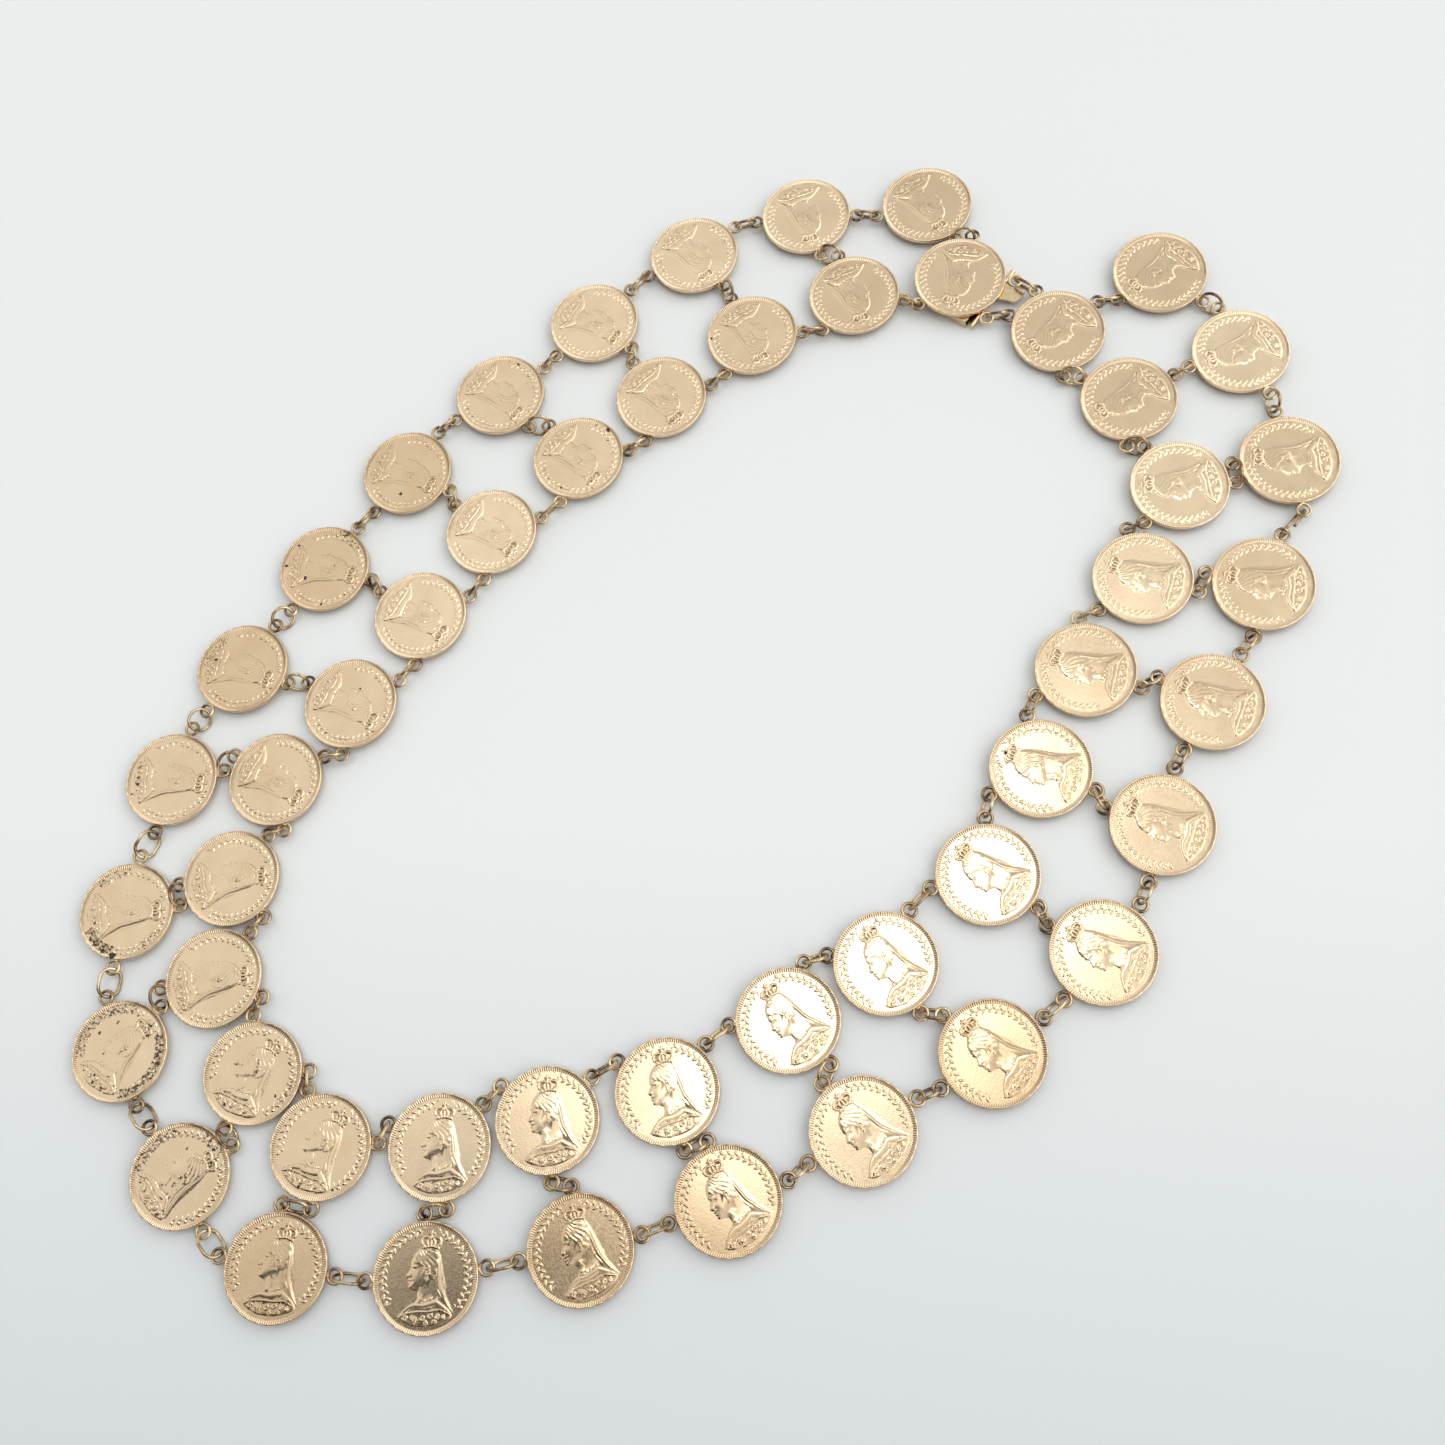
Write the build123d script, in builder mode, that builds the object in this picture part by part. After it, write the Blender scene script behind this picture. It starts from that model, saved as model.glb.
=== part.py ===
from build123d import *
import os
from math import atan2, cos, degrees, radians, sin, sqrt

os.makedirs("parts", exist_ok=True)

# Coins
coin_radius = 8.1
rim_height = 0.86
rim_width = 0.5
obverse_depth = 0.2
reverse_depth = 0.1
bust_relief = 0.1
veil_relief = 0.06
trim_relief = 0.03

# Wire loops soldered to the coins, and the oval links between them, measured along the wire's middle
wire_radius = 0.27
loop_radius = 1.1
loop_reach = coin_radius + loop_radius - 0.1
outer_row_reach = coin_radius + loop_radius + 0.2
foot_size = (0.8, 1.0, 0.42)
round_link = (3.8, 3.5)
oval_link = (4.6, 3.3)
round_link_span = 4.0
open_link = (6.2, 2.2)
open_link_end = (-1.5, 2.1)
open_link_hook = 150

# How the collar lies: level of a coin's mid-plane and its small tilt, each coin's its own way
coin_level = 1.45
coin_tilt = 0.8
golden_angle = 137.5

# Clasp, measured from under the middle of the first inner coin towards the last one: a flat box open at
# its mouth, and a tongue of two leaves with a bar across the mouth, two rings and a thumb tab
box_height = 1.82
box_wall = 0.25
box_back = 0.5
box_mouth = 5.8
box_sides = (-7.0, 5.6)
leaf_height = 0.3
leaf_sides = (-6.0, 4.6)
leaf_fold = 1.6
lower_leaf_level = 0.45
upper_leaf_level = 1.0
upper_leaf_end = 5.4
bar_radius = 0.45
bar_reach = 6.9
bar_level = 1.05
bar_ends = (-6.7, 6.8)
tab_level = 1.05
tab_height = 0.4
ring_reach = bar_reach + bar_radius + loop_radius - 0.1
ring_level = 1.3
ring_places = (-4.1, 5.1)
last_coin_loops = (191, 147)
first_coin_level = box_height + rim_height / 2

# The photograph's view: tilt from straight down, roll, turn about the vertical that brings the clasp to
# the back, distance in millimetres, and the focal length and the picture's middle in pixels
view_tilt = 20.7
view_roll = -20.56
view_turn = 53.1
view_distance = 243.3
focal_length = 1482
picture_middle = 722.5

# Each outer coin with the inner one beside it, from the clasp round the left side, the front and the
# right side: their centres in pixels of the 1445 pixel photograph, and the degrees by which the loops that
# join them, and those that join each to the next coin of its row, are turned off the line of centres
pairs = [
    # outer_x, outer_y, inner_x, inner_y, cross: outer, inner, outer row: here, next, inner row: here, next
    (927, 204, 960, 276, 15, -34, 8, -4, 28, -15),
    (806, 215, 854, 294, -8, -8, -15, 18, 29, -21),
    (694, 254, 752, 334, 8, -5, -12, 9, 22, -23),
    (594, 322, 661, 396, 13, -2, 4, -6, 34, -31),
    (500, 394, 578, 457, -8, -8, -12, 14, 29, -28),
    (407, 472, 491, 531, 11, -1, 0, 2, 32, -31),
    (324, 568, 420, 615, 12, -4, 0, 3, 33, -29),
    (242, 668, 350, 703, 0, -8, -9, 12, 38, -23),
    (171, 779, 275, 779, 10, -28, 0, 6, 34, -18),
    (126, 911, 231, 878, -11, -11, -12, 18, 47, -32),
    (119, 1051, 213, 978, 11, -30, -8, 6, 41, -23),
    (179, 1176, 252, 1073, -27, 9, -22, 28, 44, -28),
    (275, 1268, 320, 1147, 18, 13, -4, 6, 4, -22),
    (425, 1278, 439, 1147, 8, 13, -1, 0, 31, -47),
    (580, 1250, 547, 1120, -6, -11, -4, 2, 31, -42),
    (728, 1201, 667, 1091, -10, -13, -8, 3, 21, -25),
    (863, 1131, 788, 1020, 7, 10, 0, 3, 45, -38),
    (993, 1053, 886, 963, 3, -15, -7, 7, 25, -28),
    (1104, 952, 988, 874, 9, 1, -12, 10, 28, -36),
    (1163, 824, 1041, 768, 9, 4, 9, -8, 36, -38),
    (1213, 701, 1086, 669, -12, -4, -7, 11, 36, -22),
    (1264, 583, 1143, 577, -10, -12, -8, 24, 35, -20),
    (1290, 459, 1180, 484, -11, -11, -7, 10, 12, -29),
    (1241, 350, 1129, 398, -8, 5, -18, 11, 21, -35),
    (1160, 271, 1058, 330, 3, 7, 0, 0, 0, 0),
]

# How the links stand, from flat at 0 through upright at 90 to flat again, the edge on the neck's side
# raised below 90. The row stretches end after the pair given.
row_leans = [
    # last_pair, outer_lean, inner_lean
    (6, 66, 66),
    (12, 138, 68),
    (25, 112, 112),
]
cross_lean = 62
clasp_link_lean = 110


def on_coins(pixel_x, pixel_y, raised=0):
    """The place that a pixel shows on top of the coins, or of one raised above the others."""
    across = (pixel_x - picture_middle) / focal_length
    upward = (picture_middle - pixel_y) / focal_length
    sight = (camera * Pos(across, upward, -1)).position - camera.position
    place = camera.position - sight * ((camera.position.Z - raised) / sight.Z)
    return Vector(place.X, place.Y)


def heading(start, end):
    """Compass angle from one place to another, anticlockwise from +X."""
    return degrees(atan2(end.Y - start.Y, end.X - start.X))


def coin_seat(place, level, up, number):
    """A coin's mid-plane, its +Y towards the top of the portrait, tilted a little its own way."""
    tilt_heading = golden_angle * number
    tilt = 0 if number == 0 else coin_tilt
    lean = Rot(0, 0, tilt_heading) * Rot(tilt, 0, 0) * Rot(0, 0, up - 90 - tilt_heading)
    return Plane(Pos(place.X, place.Y, level) * lean)


def loop_place(seat, up, loop):
    """Middle of a loop on a coin, in the collar's frame."""
    loop_heading, reach = loop
    angle = radians(loop_heading - up + 90)
    return seat.from_local_coords(Vector(reach * cos(angle), reach * sin(angle), 0))


def link_size(start, end):
    """Length and width of the link for two loops: a rounder one where they are close together."""
    return round_link if (end - start).length < round_link_span else oval_link


def link_plane(start, end, lean, size):
    """Plane of a link through two loops, leaning about the line between them, clear of the table."""
    length, width = size
    along = (end - start).normalized()
    left = Vector(0, 0, 1).cross(along).normalized()
    wide = left * cos(radians(lean)) + along.cross(left) * sin(radians(lean))
    drop = width / 2 * sqrt(along.Z**2 + wide.Z**2) + (length - width) / 2 * abs(along.Z)
    middle = (start + end) / 2
    middle.Z = max(middle.Z, wire_radius + drop)
    return Plane(origin=middle, x_dir=along, z_dir=along.cross(wide))


def make_link(size):
    """One link in its own plane: round wire bent to two half circles and two short straights."""
    length, width = size
    straight = (length - width) / 2
    with BuildPart() as link:
        with BuildLine() as ring:
            Line((-straight, width / 2), (straight, width / 2))
            ThreePointArc((straight, width / 2), (length / 2, 0), (straight, -width / 2))
            Line((straight, -width / 2), (-straight, -width / 2))
            ThreePointArc((-straight, -width / 2), (-length / 2, 0), (-straight, width / 2))
        with BuildSketch(Plane(origin=(0, width / 2, 0), x_dir=(0, 1, 0), z_dir=(1, 0, 0))):
            Circle(wire_radius)
        sweep(path=ring.wires()[0])
    return link.part


def make_open_link():
    """The link that has sprung open: a long hairpin hooked in one loop, its other end standing free."""
    length, width = open_link
    with BuildPart() as link:
        with BuildLine() as wire:
            free_arm = Line(open_link_end, (length / 2 - width / 2, width / 2))
            turn = degrees(atan2((free_arm % 1).Y, (free_arm % 1).X))
            bend = JernArc(free_arm @ 1, free_arm % 1, width / 2, -180 - turn)
            arm = Line(bend @ 1, bend @ 1 + (width - length, 0))
            JernArc(arm @ 1, arm % 1, width / 2, -open_link_hook)
        with BuildSketch(Plane(origin=free_arm @ 0, z_dir=free_arm % 0)):
            Circle(wire_radius)
        sweep(path=wire.wires()[0])
    return link.part


def write_links(label, joints, open_joint=None):
    """A node of links that hang free of each other."""
    kinds = []
    for size in (round_link, oval_link):
        planes = [link_plane(*joint, size) for joint in joints if link_size(*joint[:2]) == size]
        if planes:
            kinds.append((make_link(size), planes))
    if open_joint:
        kinds.append((make_open_link(), [link_plane(*open_joint, open_link)]))
    with BuildPart() as links:
        for link, planes in kinds:
            with Locations(*planes):
                add(link)
    links.part.label = label
    export_step(links.part, f"parts/{label}.step")


# Where each coin lies, moved so that the middle of the collar is the origin
camera = Rot(0, 0, view_turn) * Rot(view_tilt, 0, 0) * Rot(0, 0, view_roll) * Pos(0, 0, view_distance)
outer_places = [on_coins(outer_x, outer_y) for outer_x, outer_y, *_ in pairs]
inner_places = [on_coins(inner_x, inner_y) for _, _, inner_x, inner_y, *_ in pairs]
inner_places[0] = on_coins(*pairs[0][2:4], raised=first_coin_level - coin_level)
places = outer_places + inner_places
middle = Vector(
    (min(place.X for place in places) + max(place.X for place in places)) / 2,
    (min(place.Y for place in places) + max(place.Y for place in places)) / 2,
)
outer_places = [place - middle for place in outer_places]
inner_places = [place - middle for place in inner_places]

# Loops of every coin as headings and reaches: the cross loop first, whose heading also tells which way is
# up for the portrait, then the row's loops
outer_loops = []
inner_loops = []
for outer, inner, (*_, outer_turn, inner_turn, _, _, _, _) in zip(outer_places, inner_places, pairs):
    along = heading(outer, inner)
    outer_loops.append([(along + outer_turn, loop_reach)])
    inner_loops.append([(along + 180 + inner_turn, loop_reach)])
for number, (*_, outer_turn, outer_next, inner_turn, inner_next) in enumerate(pairs[:-1]):
    along = heading(outer_places[number], outer_places[number + 1])
    outer_loops[number].append((along + outer_turn, outer_row_reach))
    outer_loops[number + 1].append((along + 180 + outer_next, outer_row_reach))
    along = heading(inner_places[number], inner_places[number + 1])
    inner_loops[number].append((along + inner_turn, loop_reach))
    inner_loops[number + 1].append((along + 180 + inner_next, loop_reach))

# The clasp's own plane on the table, under the first inner coin, its +X towards the last one
clasp_heading = heading(inner_places[0], inner_places[-1])
clasp = Plane(Pos(inner_places[0].X, inner_places[0].Y, 0) * Rot(0, 0, clasp_heading))
inner_loops[-1] += [(clasp_heading + angle, loop_reach) for angle in last_coin_loops]

# Seats of the coins, the first inner one on top of the clasp's box
outer_ups = [loops[0][0] for loops in outer_loops]
inner_ups = [loops[0][0] + 180 for loops in inner_loops]
outer_seats = [
    coin_seat(place, coin_level, up, number)
    for number, (place, up) in enumerate(zip(outer_places, outer_ups))
]
inner_seats = [
    coin_seat(place, coin_level if number else first_coin_level, up, number)
    for number, (place, up) in enumerate(zip(inner_places, inner_ups))
]

# Links, each with its two loops' places and its lean
outer_joints = []
inner_joints = []
for number in range(len(pairs) - 1):
    outer_lean, inner_lean = next(leans for last, *leans in row_leans if number + 1 <= last)
    outer_start = loop_place(outer_seats[number], outer_ups[number], outer_loops[number][-1])
    outer_end = loop_place(outer_seats[number + 1], outer_ups[number + 1], outer_loops[number + 1][1])
    outer_joints.append((outer_start, outer_end, outer_lean))
    onward = 1 if number == 0 else 2
    inner_start = loop_place(inner_seats[number], inner_ups[number], inner_loops[number][onward])
    inner_end = loop_place(inner_seats[number + 1], inner_ups[number + 1], inner_loops[number + 1][1])
    inner_joints.append((inner_start, inner_end, inner_lean))

# The link after the twenty-second outer coin has sprung open
open_joint = outer_joints.pop(21)

cross_joints = [
    (
        loop_place(outer_seats[number], outer_ups[number], outer_loops[number][0]),
        loop_place(inner_seats[number], inner_ups[number], inner_loops[number][0]),
        cross_lean,
    )
    for number in range(len(pairs))
]
clasp_joints = [
    (
        clasp.from_local_coords(Vector(ring_reach, place, ring_level)),
        loop_place(inner_seats[-1], inner_ups[-1], loop),
        clasp_link_lean,
    )
    for place, loop in zip(ring_places, inner_loops[-1][2:])
]

# Coin blank: a disc with a raised rim, and the veiled bust in a few steps of relief, facing left
field = rim_height / 2 - obverse_depth
with BuildPart() as coin_blank:
    Cylinder(coin_radius, rim_height)
    with BuildSketch(Plane.XY.offset(rim_height / 2)):
        Circle(coin_radius - rim_width)
    extrude(amount=-obverse_depth, mode=Mode.SUBTRACT)
    with BuildSketch(Plane.XY.offset(-rim_height / 2)):
        Circle(coin_radius - rim_width)
    extrude(amount=reverse_depth, mode=Mode.SUBTRACT)

    # Head, neck and shoulders
    with BuildSketch(Plane.XY.offset(field)):
        with BuildLine():
            ThreePointArc((-1.0, 4.3), (-2.1, 3.35), (-2.7, 1.75))
            Line((-2.7, 1.75), (-2.6, 1.3))
            Line((-2.6, 1.3), (-3.5, 0.15))
            Line((-3.5, 0.15), (-3.0, -0.1))
            Line((-3.0, -0.1), (-2.9, -1.1))
            ThreePointArc((-2.9, -1.1), (-2.8, -1.75), (-2.2, -2.0))
            ThreePointArc((-2.2, -2.0), (-1.3, -3.1), (-1.7, -4.1))
            Line((-1.7, -4.1), (-4.2, -5.4))
            ThreePointArc((-4.2, -5.4), (0, -6.8), (4.6, -5.5))
            ThreePointArc((4.6, -5.5), (3.5, 0.6), (1.6, 4.4))
            Line((1.6, 4.4), (-1.0, 4.3))
        make_face()
    extrude(amount=bust_relief)

    # Veil from the crown to the shoulder
    with BuildSketch(Plane.XY.offset(field + bust_relief)):
        with BuildLine():
            ThreePointArc((4.5, -5.4), (3.4, 0.6), (1.6, 4.3))
            Line((1.6, 4.3), (-0.3, 4.1))
            ThreePointArc((-0.3, 4.1), (1.3, 0.6), (1.8, -3.2))
            Line((1.8, -3.2), (2.3, -6.2))
            Line((2.3, -6.2), (4.5, -5.4))
        make_face()
    extrude(amount=veil_relief)

    # Drapery across the shoulders, with a round badge on it
    with BuildSketch(Plane.XY.offset(field + bust_relief)):
        with BuildLine():
            Line((-4.0, -5.4), (-1.4, -4.3))
            ThreePointArc((-1.4, -4.3), (0.2, -4.4), (1.6, -3.5))
            Line((1.6, -3.5), (2.0, -6.2))
            ThreePointArc((2.0, -6.2), (-0.8, -6.5), (-4.0, -5.4))
        make_face()
    extrude(amount=trim_relief)
    with BuildSketch(Plane.XY.offset(field + bust_relief + trim_relief)):
        with Locations((-1.6, -5.4)):
            Circle(0.6)
    extrude(amount=trim_relief)

    # Small crown on top of the head
    with BuildSketch(Plane.XY.offset(field)):
        with Locations((0.35, 4.75)):
            Rectangle(2.1, 0.9)
        with Locations((0.35, 5.2)):
            Circle(0.85)
        with Locations((0.35, 6.2)):
            Rectangle(0.3, 0.5)
    extrude(amount=bust_relief + veil_relief)

# Coins, each one solid with its soldered loops
rows = [
    # row, seats, ups, loops
    ("outer_coin", outer_seats, outer_ups, outer_loops),
    ("inner_coin", inner_seats, inner_ups, inner_loops),
]
for row, seats, ups, loops in rows:
    for number, (seat, up, coin_loops) in enumerate(zip(seats, ups, loops)):
        with BuildPart(seat) as coin:
            add(coin_blank.part)
            for loop_heading, reach in coin_loops:
                with Locations(Rot(0, 0, loop_heading - up + 90)):
                    with Locations((reach, 0)):
                        Torus(loop_radius, wire_radius)
                    if reach == outer_row_reach:
                        with Locations((coin_radius, 0)):
                            Box(*foot_size)
            if seat is inner_seats[0]:
                # The clasp's box, open at its mouth
                box_middle = (box_sides[0] + box_sides[1]) / 2
                box_size = (box_mouth - box_back, box_sides[1] - box_sides[0])
                with BuildSketch(clasp):
                    with Locations(((box_back + box_mouth) / 2, box_middle)):
                        Rectangle(*box_size)
                extrude(amount=box_height)
                with BuildSketch(clasp.offset(box_wall)):
                    with Locations(((box_back + box_mouth) / 2 + box_wall, box_middle)):
                        Rectangle(box_size[0], box_size[1] - 2 * box_wall)
                extrude(amount=box_height - 2 * box_wall, mode=Mode.SUBTRACT)
        coin.part.label = f"{row}_{number + 1:02d}"
        export_step(coin.part, f"parts/{coin.part.label}.step")

# Clasp tongue: two leaves folded at the inner end, the bar across the mouth, its rings and the thumb tab
with BuildPart() as clasp_tongue:
    fold_middle = (lower_leaf_level + upper_leaf_level + leaf_height) / 2
    fold_radius = (upper_leaf_level + leaf_height - lower_leaf_level) / 2
    with BuildSketch(Plane(clasp.location * Pos(0, leaf_sides[1], 0) * Rot(90, 0, 0))):
        with Locations(((leaf_fold + bar_reach) / 2, lower_leaf_level + leaf_height / 2)):
            Rectangle(bar_reach - leaf_fold, leaf_height)
        with Locations(((leaf_fold + upper_leaf_end) / 2, upper_leaf_level + leaf_height / 2)):
            Rectangle(upper_leaf_end - leaf_fold, leaf_height)
        with BuildLine():
            outer_bend = JernArc((leaf_fold, fold_middle + fold_radius), (-1, 0), fold_radius, 180)
            Line(outer_bend @ 1, outer_bend @ 1 + (0, leaf_height))
            JernArc(outer_bend @ 1 + (0, leaf_height), (-1, 0), fold_radius - leaf_height, -180)
            Line(outer_bend @ 0, outer_bend @ 0 - (0, leaf_height))
        make_face()
    extrude(amount=leaf_sides[1] - leaf_sides[0])
    with BuildSketch(Plane(clasp.location * Pos(bar_reach, bar_ends[0], bar_level) * Rot(-90, 0, 0))):
        Circle(bar_radius)
    extrude(amount=bar_ends[1] - bar_ends[0])
    with Locations(*[clasp.location * Pos(ring_reach, place, ring_level) for place in ring_places]):
        Torus(loop_radius, wire_radius)
    with BuildSketch(clasp.offset(tab_level)):
        with BuildLine():
            Line((bar_reach, -0.4), (bar_reach, 3.8))
            ThreePointArc((bar_reach, 3.8), (9.2, 3.7), (11.0, 4.4))
            ThreePointArc((11.0, 4.4), (11.2, 2.9), (10.7, 1.2))
            ThreePointArc((10.7, 1.2), (9.0, 0.8), (bar_reach, -0.4))
        make_face()
    extrude(amount=tab_height)
clasp_tongue.part.label = "clasp_tongue"
export_step(clasp_tongue.part, "parts/clasp_tongue.step")

# Links
write_links("outer_row_links", outer_joints, open_joint)
write_links("inner_row_links", inner_joints)
write_links("cross_links", cross_joints)
write_links("clasp_links", clasp_joints)
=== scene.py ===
# %% [markdown]
# # A collar of gilt coins
# The necklace is two rows of small silver coins, gilded all over and worn, each with little wire eyelets
# soldered to its edge. Oval wire links join the eyelets. The solid model gives every piece its size and its
# place on the table. This lesson gives the coins their struck relief, and all of it the look of old
# gilding.

# %% Load the solid model as the frame
from math import cos, pi, radians, sin

import bmesh
import bpy
import numpy as np
from mathutils import Matrix, Vector


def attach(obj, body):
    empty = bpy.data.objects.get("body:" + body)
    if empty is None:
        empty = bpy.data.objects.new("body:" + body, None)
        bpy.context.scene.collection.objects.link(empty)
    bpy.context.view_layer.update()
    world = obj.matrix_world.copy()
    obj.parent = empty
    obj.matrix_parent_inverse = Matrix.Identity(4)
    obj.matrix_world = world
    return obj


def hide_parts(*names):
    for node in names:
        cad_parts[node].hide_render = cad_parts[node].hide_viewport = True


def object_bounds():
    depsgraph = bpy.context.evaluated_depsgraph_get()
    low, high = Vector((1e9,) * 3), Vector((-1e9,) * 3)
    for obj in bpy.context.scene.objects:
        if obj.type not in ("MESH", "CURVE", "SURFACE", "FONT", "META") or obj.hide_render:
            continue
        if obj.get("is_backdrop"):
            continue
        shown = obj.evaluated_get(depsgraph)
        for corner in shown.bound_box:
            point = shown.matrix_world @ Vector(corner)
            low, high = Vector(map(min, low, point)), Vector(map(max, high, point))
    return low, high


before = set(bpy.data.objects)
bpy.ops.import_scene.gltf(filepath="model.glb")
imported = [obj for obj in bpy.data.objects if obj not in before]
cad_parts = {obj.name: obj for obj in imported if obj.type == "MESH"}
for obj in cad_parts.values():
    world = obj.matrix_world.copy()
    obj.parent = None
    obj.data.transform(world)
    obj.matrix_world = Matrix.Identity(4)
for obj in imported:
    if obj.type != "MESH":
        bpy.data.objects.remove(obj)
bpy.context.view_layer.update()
mm = 0.001
row_length = 25

# %% [markdown]
# ## The camera
# The photograph looks down at the table from a little to one side. A camera could be set by eye, but all
# the coins are equal discs, and fitting one camera to their outlines is surer, so the numbers here come
# from that fit. The picture's middle shows a place on the coins' tops, and from there the camera stands
# back along its own line of sight.

# %% Camera
picture_size = 1445
focal_pixels = 1482
sensor_width = 36.0
look_point = Vector((3.83, -1.41, 1.88))
view_distance = 243.3
view_turn = radians(53.1)
view_tilt = radians(20.7)
view_roll = radians(-20.56)


def add_object(name, data):
    """A new object in the scene."""
    new_object = bpy.data.objects.new(name, data)
    bpy.context.scene.collection.objects.link(new_object)
    return new_object


camera_data = bpy.data.cameras.new("camera")
camera_data.sensor_width = sensor_width
camera_data.lens = sensor_width * focal_pixels / picture_size
camera_data.clip_start = 0.01
camera_data.clip_end = 10.0
camera = add_object("camera", camera_data)
bpy.context.scene.camera = camera
camera_turn = Matrix.Rotation(view_turn, 4, "Z") @ Matrix.Rotation(view_tilt, 4, "X")
camera_turn = camera_turn @ Matrix.Rotation(view_roll, 4, "Z")
camera.matrix_world = (
    Matrix.Translation(look_point * mm) @ camera_turn @ Matrix.Translation((0, 0, view_distance * mm))
)
camera_place = look_point + camera_turn @ Vector((0, 0, view_distance))
print("The camera stands at", [round(value, 1) for value in camera_place], "mm")

# %% [markdown]
# ## Finding each coin in the solid model
# The real coins were laid down by hand, so no two gaps are alike. Their places could be typed in again, but
# then the two models could drift apart, so they are measured in the solid model. The flat top of a coin's
# rim is its highest level, so the points there give a circle, and the circle's centre and level give the
# coin's seat. What stands out past the rim is an eyelet, and the far point of each gives its direction.

# %% Measure the seats and eyelets
coin_radius = 8.1
rim_height = 0.86
wire_radius = 0.27
eyelet_radius = 1.1
eyelet_tip_distance = 10.0
eyelet_gap = radians(8)


def corners_of(node):
    """A node's vertices in millimetres, and its triangles."""
    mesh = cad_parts[node].data
    points = np.empty(len(mesh.vertices) * 3, np.float32)
    mesh.vertices.foreach_get("co", points)
    mesh.calc_loop_triangles()
    triangles = np.empty(len(mesh.loop_triangles) * 3, np.int32)
    mesh.loop_triangles.foreach_get("vertices", triangles)
    return points.reshape(-1, 3).astype(float) / mm, triangles.reshape(-1, 3)


def facing(points, triangles):
    """The direction that the largest upward triangle faces."""
    first, second, third = (points[triangles[:, corner]] for corner in range(3))
    normals = np.cross(second - first, third - first)
    areas = np.linalg.norm(normals, axis=1)
    best = np.argmax(np.where(normals[:, 2] > 0, areas, 0))
    return normals[best] / areas[best]


def circle_middle(flat):
    """Centre of the circle through points in a plane, by least squares."""
    rows = np.column_stack((2 * flat, np.ones(len(flat))))
    solved, *_ = np.linalg.lstsq(rows, (flat**2).sum(1), rcond=None)
    return solved[:2]


def measure_coin(node):
    """A coin's centre and normal, and the middles of its eyelets."""
    points, triangles = corners_of(node)
    normal = facing(points, triangles)
    side = np.cross(normal, (0, 1, 0))
    side /= np.linalg.norm(side)
    basis = np.array((side, np.cross(normal, side), normal))
    local = points @ basis.T
    rim = local[local[:, 2] > local[:, 2].max() - 0.01]
    rough = (rim[:, :2].max(0) + rim[:, :2].min(0)) / 2
    outer = rim[np.linalg.norm(rim[:, :2] - rough, axis=1) > coin_radius - 0.2, :2]
    centre = np.array((*circle_middle(outer), rim[:, 2].max() - rim_height / 2))
    spread = local - centre
    reach = np.hypot(spread[:, 0], spread[:, 1])
    tips = spread[reach > eyelet_tip_distance]
    angles = np.sort(np.arctan2(tips[:, 1], tips[:, 0]))
    steps = np.diff(np.append(angles, angles[0] + 2 * pi))
    ends = np.flatnonzero(steps > eyelet_gap)
    eyelets = []
    for group in range(len(ends)):
        first = angles[(ends[group - 1] + 1) % len(angles)]
        last = angles[ends[group]]
        middle = first + ((last - first) % (2 * pi)) / 2
        near = np.cos(np.arctan2(spread[:, 1], spread[:, 0]) - middle) > cos(eyelet_gap)
        length = reach[near].max() - eyelet_radius - wire_radius
        eyelets.append(centre + length * np.array((cos(middle), sin(middle), 0)))
    return centre @ basis, normal, [eyelet @ basis for eyelet in eyelets]


def coin_matrix(row, number):
    """A coin's own frame: origin at its middle, +Z out of the portrait, +Y to the top of the head."""
    centre, normal, eyelets = rows[row][number]
    partner = rows["inner" if row == "outer" else "outer"][number][0]
    cross = min(eyelets, key=lambda eyelet: np.linalg.norm(eyelet - partner))
    up = (cross - centre) * (1 if row == "outer" else -1)
    z_axis = Vector(normal)
    x_axis = Vector(up).cross(z_axis).normalized()
    matrix = Matrix((x_axis, z_axis.cross(x_axis), z_axis)).transposed().to_4x4()
    matrix.translation = Vector(centre)
    return matrix


rows = {}
for row in ("outer", "inner"):
    rows[row] = [measure_coin(f"{row}_coin_{number:02d}") for number in range(1, row_length + 1)]
eyelet_total = sum(len(eyelets) for row in rows.values() for *_, eyelets in row)
print("Measured", sum(len(row) for row in rows.values()), "coins with", eyelet_total, "eyelets")

# %% [markdown]
# ## The struck face
# On the real coin the bust was cut in steel and pressed into silver. It could be sculpted by hand or
# painted as a height picture, but 50 coins need the same relief with different wear, and a picture would
# blur close to. So the relief is a function here: the height above the field at any place. Each form is an
# outline with a rounded edge, a mound or a ridge, and the highest one shows.

# %% Tools for drawing relief
def softened(outline, rounds=2):
    """An outline with its corners cut, so that few points give a smooth line."""
    for _ in range(rounds):
        cut = []
        for (ax, ay), (bx, by) in zip(outline, outline[1:] + outline[:1]):
            cut.append((0.75 * ax + 0.25 * bx, 0.75 * ay + 0.25 * by))
            cut.append((0.25 * ax + 0.75 * bx, 0.25 * ay + 0.75 * by))
        outline = cut
    return outline


def line_distance(x, y, points):
    """Distance from each place to a line through the points."""
    nearest = np.full(x.shape, np.inf)
    for (ax, ay), (bx, by) in zip(points[:-1], points[1:]):
        dx, dy = bx - ax, by - ay
        share = np.clip(((x - ax) * dx + (y - ay) * dy) / (dx * dx + dy * dy + 1e-12), 0, 1)
        nearest = np.minimum(nearest, np.hypot(x - ax - share * dx, y - ay - share * dy))
    return nearest


def inside_distance(x, y, outline):
    """Distance to a closed outline, positive inside it."""
    inside = np.zeros(x.shape, bool)
    for (ax, ay), (bx, by) in zip(outline, outline[1:] + outline[:1]):
        if ay != by:
            crossing = ax + (y - ay) * (bx - ax) / (by - ay)
            inside ^= ((ay > y) != (by > y)) & (x < crossing)
    distance = line_distance(x, y, outline + outline[:1])
    return np.where(inside, distance, -distance)


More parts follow.
